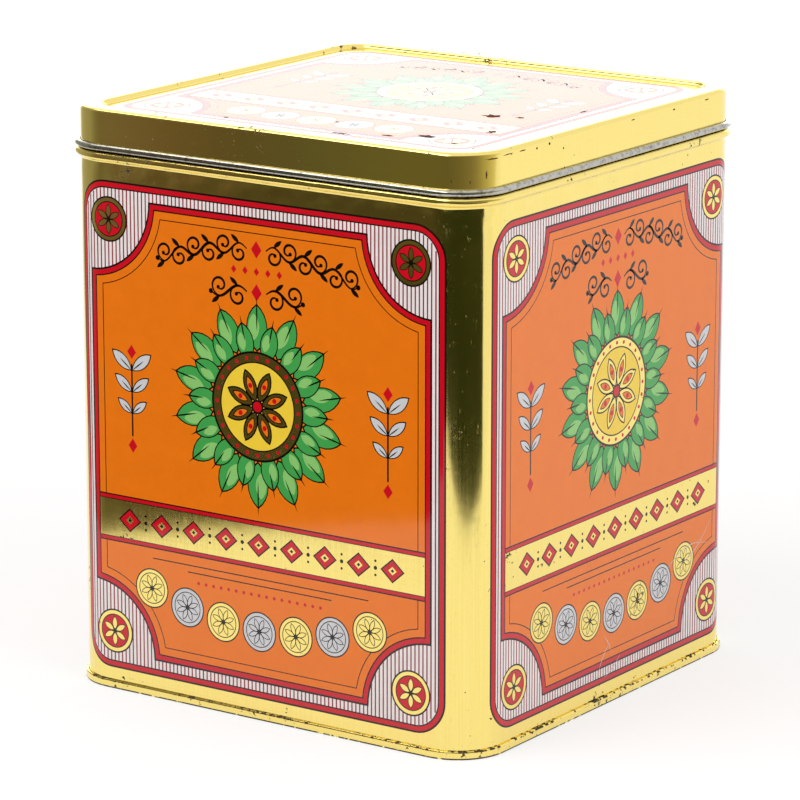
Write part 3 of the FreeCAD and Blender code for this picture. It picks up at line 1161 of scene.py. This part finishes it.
    def _band(self, count: int = 4, pitch: float = 14.6) -> None:
        """Draws the gold band with its rules, a row of lozenges and the dots between them.

        Args:
            count: how many lozenges there are on each side of the middle one.
            pitch: how far they are apart.
        """
        width, z, level = 2 * (self.panel_x - self.rules[-1]), self.band_z, Level.MOTIF
        for film, height in self.stack(level, (("band_outer_rules", Finish.BLACK, 18.0),
                                               ("band_red_rules", Finish.RED, 17.0),
                                               ("band_inner_rules", Finish.BLACK, 14.6),
                                               ("band", Finish.GOLD, 14.0))):
            film.bar(0.0, z, width, height)
        lozenges = (("lozenge_outlines", Finish.BLACK, 10.4, 9.0), ("lozenges", Finish.RED, 8.8, 7.6),
                    ("lozenge_hearts", Finish.GOLD, 3.6, 3.1), ("lozenge_seeds", Finish.BLACK, 1.6, 1.4))
        for film, across, up in self.stack(level + 4, lozenges):
            film.lozenge(*HERE, across, up)
            film.stamp([(i * pitch, z, 0.0) for i in range(-count, count + 1)])
        dots = self.film("band_dots", Finish.BLACK, level + 4)
        dots.disc(*HERE, 0.75, 16)
        for dz in (-2.6, 2.6):
            dots.disc(0.0, dz, 0.5, 12)
        dots.stamp([((i + 0.5) * pitch, z, 0.0) for i in range(-count, count)])

    def _scrolls(self) -> None:
        """Draws arched rows of scrollwork, each mirrored about a lozenge, with small lozenges between."""
        film = self.film("scrollwork", Finish.BLACK, Level.MOTIF)
        reds = self.film("scroll_lozenges", Finish.RED, Level.MOTIF)
        rows = ((self.scroll_z, self.scroll_half, 3), (self.scroll_z - 15.5, 0.46 * self.scroll_half, 1))
        for height, half, waves in rows[:self.scroll_rows]:
            for side in (-1, 1):
                self._vine(film, side, height, half, waves)
            reds.lozenge(0.0, height, 4.6, 6.4)
        if self.scroll_rows > 1:
            for i in range(-2, 3):
                reds.lozenge(i * 5.0, self.scroll_z - 8.0, 2.4, 3.0)

    def _vine(self, film: Film, side: int, height: float, half: float, waves: int,
              start: float = 4.2) -> None:
        """Draws one half of a line of scrollwork: a wavy stem with a curl and a leaf at each wave.

        Args:
            film: the ink that it goes on.
            side: 1 for the right half and -1 for the left.
            height: how high its inner end is.
            half: how far out it reaches.
            waves: how many waves the stem has.
            start: how far from the middle it starts.
        """
        length = half - start

        def stem(share: float) -> tuple[float, float]:
            """A point of the stem."""
            x = start + length * share
            return side * x, height - 0.0042 * x * x + 1.9 * math.sin(2 * math.pi * waves * share)

        film.stroke(stem, 0.5, 1.15, 24 * waves)
        step = length / (2 * waves)
        size = min(3.9, 0.55 * step)
        for k in range(2 * waves):
            x, z = stem((k + 0.5) / (2 * waves))
            up = 1 if k % 2 else -1
            curl = self._curl((x, z + up * size), size, -90 * up, 400 * up * side)
            film.stroke(curl, 0.45, 1.0, 26)
            film.disc(*curl(1.0), 0.75, 14)
            film.leaf(x, z, 4.6, 1.7, -up * (90 - 52 * side), 5)
        film.disc(*stem(1.0), 0.95, 14)

    def _curl(self, middle: tuple[float, float], size: float, start: float, sweep: float) -> Path:
        """Gives the path of a curl that winds in.

        Args:
            middle: its middle, across and up.
            size: its radius where it starts.
            start: the angle at which it starts, in degrees.
            sweep: how far it winds, in degrees.

        Returns:
            The path.
        """
        def curl(share: float) -> tuple[float, float]:
            """A point of the curl."""
            across, up = on_circle(size * (1 - 0.72 * share), start + sweep * share)
            return middle[0] + across, middle[1] + up

        return curl

    def _rosette(self) -> None:
        """Draws the rosette: two rings of leaves about a ringed field with a star of eight pods."""
        z, leaves = self.rosette_z, 14
        shapes = ((20.0, 17.6, 9.4, 0.0), (16.4, 14.6, 8.0, 180 / leaves))
        for ring, (foot, length, width, start) in enumerate(shapes, 1):
            places = [(0.0, z, 90 + (start + 360 * k / leaves)) for k in range(leaves)]
            rows = ((f"leaf_outlines_{ring}", Finish.BLACK, 0.0, 0.0, length, width),
                    (f"leaf_greens_{ring}", Finish.GREEN, 0.81, 0.0, length - 1.53, width - 0.9),
                    (f"leaf_lights_{ring}", Finish.PALE_GREEN, 4.14, 1.35, length - 7.82, width - 4.6),
                    (f"leaf_veins_{ring}", Finish.BLACK, 7.47, 0.0, length - 5.0, 0.62))
            for film, inwards, aside, long, wide in self.stack(Level.MOTIF + 4 * (ring - 1), rows):
                film.leaf(foot + inwards, aside, long, wide, 0.0)
                film.stamp(places)
        level = Level.MOTIF + 8
        self._rings(level, ((0.0, z, 0.0),), 80, (
            ("rosette_rim", Finish.BLACK, 20.2), ("rosette_gold", Finish.GOLD, 19.4),
            ("rosette_line", Finish.BLACK, 16.4), ("rosette_field", Finish.YELLOW, 15.9)))
        beads = self.film("rosette_beads", Finish.RED, Level.STAR)
        beads.disc(17.9, 0.0, 0.72, 14)
        beads.stamp([(0.0, z, 15.0 * k) for k in range(24)])
        self._star(z, Level.STAR)

    def _star(self, z: float, level: int) -> None:
        """Draws the star of eight open pods, each with a seed.

        Args:
            z: the height of its middle.
            level: the level of its lowest film.
        """
        places = [(0.0, z, 22.5 + 45 * k) for k in range(8)]
        pods = (("pod_outlines", Finish.BLACK, 1.6, 12.8, 5.7), ("pods", Finish.GOLD, 2.4, 11.2, 4.6),
                ("pod_hollows", Finish.BLACK, 4.4, 7.6, 2.9), ("pod_linings", Finish.ORANGE, 4.9, 6.4, 2.3))
        for film, foot, length, width in self.stack(level, pods):
            film.leaf(foot, 0.0, length, width, 0.0)
            film.stamp(places)
        seeds = self.film("pod_seeds", Finish.RED, level + 4)
        seeds.disc(8.1, 0.0, 0.95, 18)
        seeds.stamp(places)
        self._rings(level + 5, ((0.0, z, 0.0),), 28, (
            ("star_heart_outline", Finish.BLACK, 2.6), ("star_heart", Finish.RED, 1.9)))

    def _side_drops(self) -> None:
        """Draws, on both sides of the rosette, a hanging drop of silver-grey buds between two lozenges."""
        places = [(side * (self.panel_x - 18.5), self.rosette_z - 3.0, 0.0) for side in (-1, 1)]
        pairs = ((8.5, 11.5), (0.5, 10.0), (-7.5, 8.5))
        buds = [(height, size, angle) for height, size in pairs for angle in (38, 142)]
        rows = (("bud_outlines", Finish.BLACK, 0.0), ("buds", Finish.GREY, 0.8))
        for film, trim in self.stack(Level.MOTIF, rows):
            for height, size, angle in buds:
                across, up = on_circle(trim * 0.7, angle)
                film.leaf(across, height + up, size - 1.6 * trim, 0.42 * size - trim, angle)
            film.stamp(places)
        veins = self.film("bud_veins", Finish.BLACK, Level.MOTIF + 2)
        for height, size, angle in buds:
            veins.leaf(0.0, height, size * 0.62, 0.5, angle, 4)
        veins.bar(0.0, -2.5, 0.7, 27.0)
        veins.stamp(places)
        reds = self.film("drop_lozenges", Finish.RED, Level.MOTIF + 1)
        for height in (-19.5, 15.5):
            reds.lozenge(0.0, height, 4.0, 5.4)
        reds.stamp(places)

    def _discs(self) -> None:
        """Draws the fine rules under the band and the curved row of flower discs."""
        if self.small_print:
            rules = self.film("fine_rules", Finish.BLACK, Level.MOTIF)
            rules.bar(0.0, self.band_z - 12.6, 96.0, 0.42)
            rules.bar(0.0, self.band_z - 15.2, 64.0, 0.42)
            reds = self.film("dot_row", Finish.RED, Level.MOTIF)
            for i in range(-8, 9):
                reds.disc(i * 3.4, self.band_z - 18.8, 0.66, 12)
        columns = [16.2 * i for i in range(-self.disc_reach, self.disc_reach + 1)]
        spots = [(x, self.discs_z + self.disc_curve * x * x, 0.0) for x in columns]
        for name, metal, chosen in (("gold_disc", Finish.GOLD, spots[0::2]),
                                    ("grey_disc", Finish.GREY, spots[1::2])):
            self._rings(Level.MOTIF, chosen, 44, (
                (f"{name}_rim", Finish.BLACK, 7.5), (f"{name}_edge", metal, 7.0),
                (f"{name}_line", Finish.BLACK, 5.9), (f"{name}_face", metal, 5.55)))
            self._flower(f"{name}_flower", chosen, Level.MOTIF + 4, 8, 5.0, 2.1, metal)


class Press:
    """Lays a flat label on the tin: it closes each film, bends it round the corners and copies it.

    A film stands proud of the sheet by FIRST and a STEP for each level, and reaches into the sheet by SUNK.
    A crease takes in only the points that are nearer to it than SNAP. Each side has its turn in degrees and
    how far the label is off its middle.
    """

    FIRST = 0.006
    STEP = 0.0022
    SUNK = 0.1
    SNAP = 0.001
    CREASES = 14
    SIDES = (("front", 0, -2.1), ("right", 90, 2.8), ("back", 180, 0.0), ("left", 270, 0.0))

    def __init__(self, sizes: TinSizes) -> None:
        """Keeps the sizes and makes the inks."""
        self.sizes = sizes
        self.inks = {ink: ink.value.build() for ink in Finish}

    def close(self, film: Film) -> bpy.types.Object:
        """Joins a film's shapes and gives them a thickness that reaches into the sheet.

        Args:
            film: the film.

        Returns:
            The film as closed shapes, its face proud of y = 0 and its back behind it.
        """
        obj = join(film.shapes, film.name)
        obj.data.materials.clear()
        obj.data.materials.append(self.inks[film.ink])
        proud = self.FIRST + self.STEP * film.level
        bpy.ops.object.mode_set(mode="EDIT")
        bpy.ops.mesh.select_all(action="SELECT")
        bpy.ops.transform.translate(value=(0.0, -proud * MM, 0.0))
        back = (0.0, (proud + self.SUNK) * MM, 0.0)
        bpy.ops.mesh.extrude_region_move(TRANSFORM_OT_translate={"value": back})
        bpy.ops.mesh.select_all(action="SELECT")
        bpy.ops.mesh.normals_make_consistent(inside=False)
        bpy.ops.object.mode_set(mode="OBJECT")
        return obj

    def wrap(self, obj: bpy.types.Object) -> None:
        """Bends a closed film onto the front wall and round the start of both corners.

        It is cut where the sheet's own facets meet, so that the two stay parallel.

        Args:
            obj: the film, which isn't in the scene yet.
        """
        axis, radius = self.sizes.axis, self.sizes.corner
        reach = [vertex.co.x / MM for vertex in obj.data.vertices]
        facet = radius * math.pi / 2 / BentSheet.CORNER_STEPS
        creases = [side * (axis + k * facet) for side in (-1, 1) for k in range(self.CREASES)]
        creases = [crease for crease in creases if min(reach) < crease < max(reach)]
        if creases:
            bpy.context.collection.objects.link(obj)
            activate([obj])
            bpy.ops.object.mode_set(mode="EDIT")
            for crease in creases:
                bpy.ops.mesh.select_all(action="SELECT")
                bpy.ops.mesh.bisect(plane_co=(crease * MM, 0.0, 0.0), plane_no=(1.0, 0.0, 0.0),
                                    threshold=self.SNAP * MM)
            bpy.ops.object.mode_set(mode="OBJECT")
            bpy.context.collection.objects.unlink(obj)
        turn = facet / radius
        for vertex in obj.data.vertices:
            across, out = vertex.co.x / MM, radius - vertex.co.y / MM
            step, share = divmod(max(0.0, abs(across) - axis) / facet, 1.0)
            ends = [Vector((math.sin(k * turn), math.cos(k * turn))) * out for k in (step, step + 1)]
            bent = ends[0].lerp(ends[1], share) if abs(across) > axis else Vector((abs(across) - axis, out))
            vertex.co.x = math.copysign(axis + bent.x, across) * MM
            vertex.co.y = -(axis + bent.y) * MM

    def print_walls(self, artwork: Artwork, middle: float) -> list[bpy.types.Object]:
        """Prints a label on all four walls.

        Args:
            artwork: the label.
            middle: the height of its middle.

        Returns:
            The films of all sides.
        """
        pieces = []
        for film in artwork.draw():
            flat = self.close(film)
            for side, turn, shift in self.SIDES:
                raised = stamp_matrix(shift, middle, 0.0)
                piece = moved_copy(flat, raised, f"{side}_{film.name}", shown=False)
                self.wrap(piece)
                piece.data.transform(Matrix.Rotation(math.radians(turn), 4, "Z"))
                pieces.append(piece)
            bpy.data.objects.remove(flat)
        return pieces

    def print_lid(self, artwork: Artwork) -> list[bpy.types.Object]:
        """Prints a label on the lid's panel.

        Args:
            artwork: the label.

        Returns:
            The films.
        """
        pieces = []
        for film in artwork.draw():
            obj = self.lay(film)
            obj.name = obj.data.name = f"lid_{film.name}"
            bpy.context.collection.objects.unlink(obj)
            pieces.append(obj)
        return pieces

    def lay(self, film: Film) -> bpy.types.Object:
        """Closes a film and lays it on the lid's panel."""
        obj = self.close(film)
        obj.data.transform(Matrix.Translation((0.0, 0.0, self.sizes.lid_panel * MM)) @ TURN_UP)
        return obj


@dataclass
class SideSeam:
    """The lock seam of the wrapped body, in the back wall: a flattened fold inside and a fine groove outside,
    shown as a dark strip of painted shade.

    The sheet is left bare of ink along it.
    """

    sizes: TinSizes
    middle: float = -66.0
    width: float = 4.5
    low: float = 8.2
    high: float = 192.8
    depth: float = 1.12
    margin: float = 5.5
    margin_low: float = 6.5
    margin_high: float = 194.5
    groove: float = 0.3
    skin: float = 0.2

    def build(self, gold: bpy.types.Material, bare: bpy.types.Material) -> list[bpy.types.Object]:
        """Makes the fold, the bare margin and the groove's dark strip of painted shade.

        Args:
            gold: the finish of the wall outside.
            bare: the finish of the wall inside.

        Returns:
            The three pieces.
        """
        wall, edge = self.sizes.half, self.middle + self.width / 2
        inside = wall - self.sizes.plate / 2 - self.depth / 2
        seam, margin = (self.low, self.high), (self.margin_low, self.margin_high)
        # The groove's ink is painted shade: a thin dark strip on the wall's face, with no cut in the sheet.
        shadow = LithoInk("seam_groove_shadow", "#4a3a16").build()
        return [self._strip("side_seam_fold", self.middle, self.width, inside, self.depth, seam, bare),
                self._strip("side_seam_margin", edge, self.margin, wall - 0.02, self.skin, margin, gold),
                self._strip("side_seam_groove", edge, self.groove, wall - 0.01, self.skin, seam, shadow)]

    def _strip(self, name: str, x: float, width: float, y: float, depth: float, ends: tuple[float, float],
               material: bpy.types.Material) -> bpy.types.Object:
        """Makes an upright strip with slightly rounded edges.

        Args:
            name: its name.
            x: its middle, across.
            width: across.
            y: its middle, front to back.
            depth: front to back.
            ends: the heights of its lower and upper end.
            material: its finish.

        Returns:
            The strip.
        """
        low, high = ends
        deselect()
        bpy.ops.mesh.primitive_cube_add(size=1.0, location=(x * MM, y * MM, (low + high) / 2 * MM),
                                        scale=(width * MM, depth * MM, (high - low) * MM))
        strip = bpy.context.object
        bpy.ops.object.transform_apply()
        strip.name = strip.data.name = name
        apply_modifier(strip, "BEVEL", width=0.2 * min(width, depth) * MM, segments=2)
        strip.data.materials.append(material)
        return strip


class WearMarks:
    """Marks of use: rust flecks on the lid's panel, chips on its skirt, and scratches on the right wall.

    A fleck has its middle, across and up in its sheet's flat print, its width and its height. A scratch has
    its middle, how far it reaches across and up, and how far it bows.
    """

    PANEL_FLECKS = (
        (50.0, -60.0, 9.0, 5.0), (38.0, -66.5, 6.0, 2.4), (64.0, -40.0, 4.4, 5.4), (22.0, -72.5, 9.0, 1.6),
        (-30.0, -70.0, 2.2, 1.8), (69.0, 12.0, 1.4, 5.2), (-64.0, -30.0, 1.6, 2.0), (8.0, -55.0, 2.0, 1.8),
        (66.0, -66.0, 3.4, 2.6), (47.0, -14.0, 9.0, 7.0), (57.0, -11.0, 4.0, 3.0))
    SKIRT_CHIPS = (
        (-77.5, 213.9, 7.0, 0.7), (-69.0, 214.3, 8.0, 0.5), (-60.0, 214.2, 5.0, 0.6),
        (-51.0, 213.6, 1.2, 1.0), (-43.0, 214.0, 1.4, 1.2), (-80.0, 208.6, 0.9, 3.6),
        (-86.0, 206.4, 0.6, 1.6), (-92.5, 206.8, 0.6, 1.5), (-34.0, 211.0, 0.8, 1.0),
        (12.0, 214.2, 3.0, 0.6), (40.0, 213.8, 2.0, 0.8), (63.0, 214.1, 4.0, 0.6))
    SCRATCHES = (
        (52.0, 41.0, 34.0, 7.0, 5.0), (60.0, 47.0, 22.0, 13.0, -3.0), (-4.0, 17.0, 7.0, 9.0, 1.5),
        (2.0, 13.0, 11.0, 6.0, -1.0), (-1.0, 22.0, 5.0, -7.0, 0.8))

    def __init__(self, press: Press) -> None:
        """Keeps what lays the marks on the tin."""
        self.press = press

    def panel_flecks(self) -> bpy.types.Object:
        """Makes the rust flecks on the lid's panel, most of them near its front corner."""
        return self.press.lay(self._flecks("lid_rust_flecks", self.PANEL_FLECKS))

    def skirt_chips(self) -> bpy.types.Object:
        """Makes the chips along the top edge and down the skirt of the lid, on its right side."""
        return self._on_right_wall(self._flecks("lid_skirt_chips", self.SKIRT_CHIPS))

    def scratches(self) -> bpy.types.Object:
        """Makes the light scratches low on the right wall."""
        film = Film("right_scratches", Finish.GREY, Level.WEAR)
        for scratch in self.SCRATCHES:
            film.stroke(self._scratch(*scratch), 0.05, 0.26, 18)
        return self._on_right_wall(film)

    def _flecks(self, name: str, spots: Iterable[tuple[float, float, float, float]]) -> Film:
        """Draws ragged flecks of rust.

        Args:
            name: the film's name.
            spots: across, up, the width and the height of each.

        Returns:
            The film.
        """
        film = Film(name, Finish.RUST, Level.WEAR)
        for seed, spot in enumerate(spots):
            film.fleck(*spot, seed)
        return film

    def _scratch(self, x: float, z: float, reach: float, rise: float, bow: float) -> Path:
        """Gives the path of a bowed scratch.

        Args:
            x: its middle, across.
            z: its middle, up.
            reach: how far it reaches across.
            rise: how far it reaches up.
            bow: how far its middle is out of line.

        Returns:
            The path.
        """
        def scratch(share: float) -> tuple[float, float]:
            """A point of the scratch."""
            return x + reach * (share - 0.5), z + rise * (share - 0.5) + bow * math.sin(math.pi * share)

        return scratch

    def _on_right_wall(self, film: Film) -> bpy.types.Object:
        """Closes a film and lays it on the right wall.

        Args:
            film: the film.

        Returns:
            The closed film.
        """
        marks = self.press.close(film)
        bpy.context.collection.objects.unlink(marks)
        self.press.wrap(marks)
        marks.data.transform(Matrix.Rotation(math.radians(90), 4, "Z"))
        return marks


# ---------------------------------------------------------------------------------------------
# Studio


Glow = tuple[str, float]
Stop = tuple[float, Glow, Glow]


@dataclass
class Studio:
    """A white table under soft lamps. In front of it the room is dark, and the metal picks that up.

    Places and sizes are in metres here, and turns in degrees. The rows of stops say how the room's two sides
    glow: how far from their corner, low down, and higher up.
    """

    DARK = ("#e6ff9c", 0.03)
    DIM = ("#e6ff9c", 0.035)
    LIGHT = ("#ffffff", 1.0)
    LEFT = ((0.0, DARK, ("#fff6b8", 0.13)), (0.32, ("#fff2b5", 0.062), ("#fff8b4", 0.135)),
            (0.365, ("#fff0b5", 0.066), ("#fffbc8", 0.108)), (0.4, ("#ffeeb6", 0.072), ("#ffebbc", 0.108)),
            (0.43, ("#ffecb6", 0.08), ("#ffe0b8", 0.14)), (0.448, ("#ffecb8", 0.09), ("#ffe1c7", 0.165)),
            (0.5, ("#fff4cc", 0.18), ("#fffcd7", 0.2)), (0.56, ("#fffde1", 0.3), ("#fffde1", 0.3)),
            (1.2, ("#fffde8", 0.55), ("#fffde8", 0.55)))
    RIGHT = ((0.0, DARK, ("#fff6b8", 0.13)), (0.22, DARK, ("#fff4b8", 0.155)),
             (0.39, DIM, ("#fff2be", 0.215)), (0.475, DIM, ("#fff2be", 0.29)), (0.58, DIM, ("#fff8bc", 0.42)))
    BEYOND = ((0.58, LIGHT, ("#fff8bc", 0.42)), (0.81, LIGHT, ("#fff5c6", 0.62)),
              (1.24, LIGHT, ("#fff8d2", 0.8)), (2.4, LIGHT, ("#fffae0", 0.93)))

    eye: tuple[float, float, float] = (0.9032, -1.3062, 0.4948)
    azimuth: float = 34.75
    elevation: float = 13.93
    lens: float = 197.9
    sensor: float = 36.0
    daylight: float = 0.66
    window: float = 2.1
    soft_box: float = 3.6
    room_corner: tuple[float, float, float] = (0.132, -0.562, 0.0)
    room_height: float = 0.46

    def build(self) -> None:
        """Builds the world, the table, the dark room, the lamps and the camera."""
        self._world()
        self._table()
        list(self._room())
        self._glare()
        self._soft_box()
        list(self._lamps())
        self._camera()
        bpy.context.scene.view_settings.view_transform = "Standard"

    def _seen(self, tree: bpy.types.NodeTree) -> bpy.types.NodeSocket:
        """Adds nodes that give 1 for rays from the camera, a reflection or glass, and 0 for other rays."""
        path = add_node(tree, "ShaderNodeLightPath").outputs
        both = add_sum(tree, path["Is Camera Ray"], path["Is Glossy Ray"], clamp=True)
        return add_sum(tree, both, path["Is Transmission Ray"], clamp=True)

    def _world(self) -> None:
        """Makes the world white to look at and softer as a lamp."""
        world = bpy.data.worlds.new("white_studio")
        bpy.context.scene.world = world
        world.use_nodes = True
        tree = world.node_tree
        tree.nodes.clear()
        colour = linear("#ffffff")
        soft, white = (add_node(tree, "ShaderNodeBackground", {"Color": colour, "Strength": strength})
                       for strength in (self.daylight, 1.0))
        end_tree(tree, add_blend(tree, self._seen(tree), soft, white), "World")

    def _table(self) -> bpy.types.Object:
        """Makes the white table top.

        It glows a little to the camera, and more so far from the tin, so that the ground looks white and the
        tin's shadow stays.
        """
        deselect()
        bpy.ops.mesh.primitive_plane_add(size=12.0)
        table = bpy.context.object
        table.name = "table"
        material, tree = new_material("white_table_top")
        matt = add_node(tree, "ShaderNodeBsdfDiffuse", {"Color": linear("#f6f6f6")})
        glow = add_node(tree, "ShaderNodeEmission", {"Color": linear("#ffffff"), "Strength": 1.14})
        spot = add_node(tree, "ShaderNodeTexCoord").outputs["Object"]
        away = add_node(tree, "ShaderNodeVectorMath", {"operation": "LENGTH"}, {0: spot}).outputs["Value"]
        most = add_node(tree, "ShaderNodeMapRange",
                        {"From Min": 0.35, "From Max": 1.1, "To Min": 0.55, "To Max": 0.82,
                         "interpolation_type": "SMOOTHSTEP"}, {"Value": away}).outputs[0]
        share = add_node(tree, "ShaderNodeMath", {"operation": "MULTIPLY"}, {0: most, 1: self._seen(tree)})
        end_tree(tree, add_blend(tree, share.outputs[0], matt, glow))
        table.data.materials.append(material)
        return table

    def _board(self, name: str, width: float, height: float, place: Iterable[float],
               turn: float) -> bpy.types.Object:
        """Stands up a board that only reflections see.

        Args:
            name: the board's name.
            width: how wide it is.
            height: how tall it is.
            place: the middle of its lower edge.
            turn: how far it is turned about the vertical.

        Returns:
            The board.
        """
        deselect()
        x, y, z = place
        bpy.ops.mesh.primitive_plane_add(size=1.0, location=(x, y, z + height / 2),
                                         rotation=(math.radians(90), 0.0, math.radians(turn)))
        board = bpy.context.object
        board.name = name
        board.scale = (width, height, 1.0)
        board.visible_camera = board.visible_diffuse = False
        board.visible_shadow = board.visible_transmission = False
        return board

    def _glow(self, board: bpy.types.Object, low: tuple[Glow, Glow], high: tuple[Glow, Glow],
              rise: tuple[float, float]) -> None:
        """Lights a board, which turns from one glow to another from left to right and from low to high.

        Args:
            board: the board.
            low: the glow at its lower left and lower right, as a colour and a strength each.
            high: the same higher up.
            rise: between which heights the low glow turns into the high one.
        """
        material, tree = new_material(board.name)
        spot = add_node(tree, "ShaderNodeTexCoord").outputs["Object"]
        split = add_node(tree, "ShaderNodeSeparateXYZ", {}, {0: spot}).outputs
        across = add_node(tree, "ShaderNodeMapRange", {"From Min": -0.5, "From Max": 0.5},
                          {"Value": split["X"]})
        start, end = (height / board.scale.y - 0.5 for height in rise)
        up = add_node(tree, "ShaderNodeMapRange",
                      {"From Min": start, "From Max": end, "interpolation_type": "SMOOTHSTEP"},
                      {"Value": split["Y"]})
        rows = []
        for glows in (low, high):
            ends = [add_node(tree, "ShaderNodeEmission", {"Color": linear(colour), "Strength": strength})
                    for colour, strength in glows]
            rows.append(add_blend(tree, across.outputs[0], *ends))
        end_tree(tree, add_blend(tree, up.outputs[0], *rows))
        board.data.materials.append(material)

    def _room(self) -> list[bpy.types.Object]:
        """Makes the room beyond the two front edges of the table, which meet at a corner."""
        return [*self._row("dark_room_left", 137.4, self.LEFT, (0.09, 0.15)),
                *self._row("dark_room_right", 54.4, self.RIGHT, (0.108, 0.125)),
                *self._row("light_room_right", 54.4, self.BEYOND, (0.108, 0.125))]

    def _row(self, name: str, turn: float, stops: tuple[Stop, ...],
             rise: tuple[float, float]) -> list[bpy.types.Object]:
        """Makes one side of the room: a row of boards whose glows run on from one to the next.

        Args:
            name: the boards' name.
            turn: how far the row is turned about the vertical.
            stops: distances from the room's corner, each with its glow low down and its glow higher up.
            rise: between which heights the low glows turn into the high ones.

        Returns:
            The boards.
        """
        run = Vector((math.cos(math.radians(turn)), math.sin(math.radians(turn)), 0.0))
        boards = []
        for (near, *first), (far, *last) in zip(stops, stops[1:]):
            middle = Vector(self.room_corner) + run * (near + far) / 2
            boards.append(self._board(name, far - near, self.room_height, middle, turn))
            self._glow(boards[-1], *zip(first, last), rise)
        return boards

    def _glare(self) -> bpy.types.Object:
        """Makes the bright window behind the tin that whitens the lid."""
        turn, away = math.radians(self.azimuth), 2.2
        place = (-away * math.sin(turn), away * math.cos(turn), 0.0)
        return self._even(self._board("bright_window", 4.0, 1.6, place, self.azimuth), self.window)

    def _soft_box(self) -> bpy.types.Object:
        """Makes the soft box above the front left, which puts the bright lines on curls and beads."""
        return self._even(self._board("soft_box_face", 2.4, 1.5, (-0.72, -0.98, 0.95), 143.7), self.soft_box)

    def _even(self, board: bpy.types.Object, strength: float) -> bpy.types.Object:
        """Lights a board evenly white."""
        white = (("#ffffff", strength), ("#ffffff", strength))
        self._glow(board, white, white, (0.5, 0.6))
        return board

    def _lamps(self) -> list[bpy.types.Object]:
        """Hangs the soft key lamp above the left and a weaker one at the right, both aimed at the tin."""
        lamps, target, size = [], Vector((0, 0, 0.1)), 1.3
        for name, place, power in (("key_lamp", (-0.7, -1.1, 1.5), 12.5),
                                   ("side_lamp", (1.6, -0.2, 1.0), 10.0)):
            deselect()
            bpy.ops.object.light_add(type="AREA", location=place)
            lamp = bpy.context.object
            lamp.name = name
            lamp.data.shape = "SQUARE"
            lamp.data.size = size
            lamp.data.energy = power
            lamp.rotation_euler = (Vector(place) - target).to_track_quat("Z", "Y").to_euler()
            lamp.visible_glossy = False
            lamps.append(lamp)
        return lamps

    def _camera(self) -> None:
        """Puts the camera in front of the tin, a little to the right and above it."""
        deselect()
        bpy.ops.object.camera_add(location=self.eye)
        camera = bpy.context.object
        turn, tilt = math.radians(self.azimuth), math.radians(self.elevation)
        back = Vector((math.sin(turn) * math.cos(tilt), -math.cos(turn) * math.cos(tilt), math.sin(tilt)))
        camera.rotation_euler = back.to_track_quat("Z", "Y").to_euler()
        camera.data.lens = self.lens
        camera.data.sensor_width = self.sensor
        bpy.context.scene.camera = camera


# ---------------------------------------------------------------------------------------------
# The whole


def mount(piece: bpy.types.Object, body: str, slot: str, *nodes: str) -> None:
    """Lets a piece ride on a body and hides the solids that it stands for.

    Args:
        piece: the piece.
        body: the body that it rides on.
        slot: not used.
        *nodes: the solids that it replaces, if any.
    """
    if piece.name not in bpy.context.scene.objects:
        bpy.context.collection.objects.link(piece)
    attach(piece, body)
    if nodes:
        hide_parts(*nodes)


def main() -> None:
    """Builds the sheets, the print and the studio, in that order."""
    logging.basicConfig(level=logging.INFO, format="%(message)s")
    sizes = TinSizes()
    body_wear = (WearAndShadeBand(-1, 5, 0.05), WearAndShadeBand(198, 203, 0.03))
    # The band from -1 to 0.7 mm darkens the base's bottom edge: partly rust, partly painted contact shade.
    seam_wear_and_contact_shade = (WearAndShadeBand(-1, 4, 0.08), WearAndShadeBand(-1, 0.7, 0.26), WearAndShadeBand(2.6, 3.3, 0.12))
    lid_wear = (WearAndShadeBand(213.6, 217, 0.055),)
    body_gold = LacqueredTinplate("gold_lacquered_body", Grain.UPRIGHT, wear_and_shade=body_wear,
                                  rippled=(184.0, 198.0)).build()
    base_gold = LacqueredTinplate("gold_lacquered_base", Grain.ACROSS, wear_and_shade=seam_wear_and_contact_shade).build()
    lid_gold = LacqueredTinplate("gold_lacquered_lid", Grain.ACROSS, wear_and_shade=lid_wear).build()
    bare = BareTinplate().build()
    inside = BareTinplate("dull_tinplate_inside", "#dad8d2", metallic=0.6, soil=0.2).build()
    lid = Lid(sizes).build(lid_gold, bare)
    body = BodyShell(sizes).build(body_gold, inside)
    base = BaseEnd(sizes).build(base_gold, inside)
    mount(lid, "lid", "lid_tinplate", "lid")
    mount(body, "tin", "body_tinplate", "body_shell")
    mount(base, "tin", "base_tinplate", "base_end")
    LOG.info("sheets: %s faces", [len(sheet.data.polygons) for sheet in (lid, body, base)])
    press = Press(sizes)
    wall = Artwork(half_x=80.4, half_z=91.6, corner=12.5, panel_x=75.0, panel_z=85.6, scoop=27.0,
                   rosette_z=17.0, band_z=-34.0, discs_z=-66.4, scroll_z=74.0, scroll_half=44.0)
    panel = Artwork(half_x=76.5, half_z=76.5, corner=10.0, panel_x=71.0, panel_z=71.0, scoop=25.0,
                    rosette_z=15.0, band_z=-34.5, discs_z=-56.5, scroll_z=60.5, scroll_half=40.0,
                    scroll_rows=1, disc_reach=2, disc_curve=0.0018, small_print=False)
    on_lid = press.print_lid(panel)
    on_walls = press.print_walls(wall, 99.4)
    seam = SideSeam(sizes).build(body_gold, inside)
    marks = WearMarks(press)
    for piece in (*on_walls, *seam, marks.scratches()):
        mount(piece, "tin", "body_tinplate")
    for piece in (*on_lid, marks.panel_flecks(), marks.skirt_chips()):
        mount(piece, "lid", "lid_tinplate")
    LOG.info("print: %d pieces on the walls and %d on the lid", len(on_walls), len(on_lid))
    Studio().build()


if __name__ == "__main__":
    main()
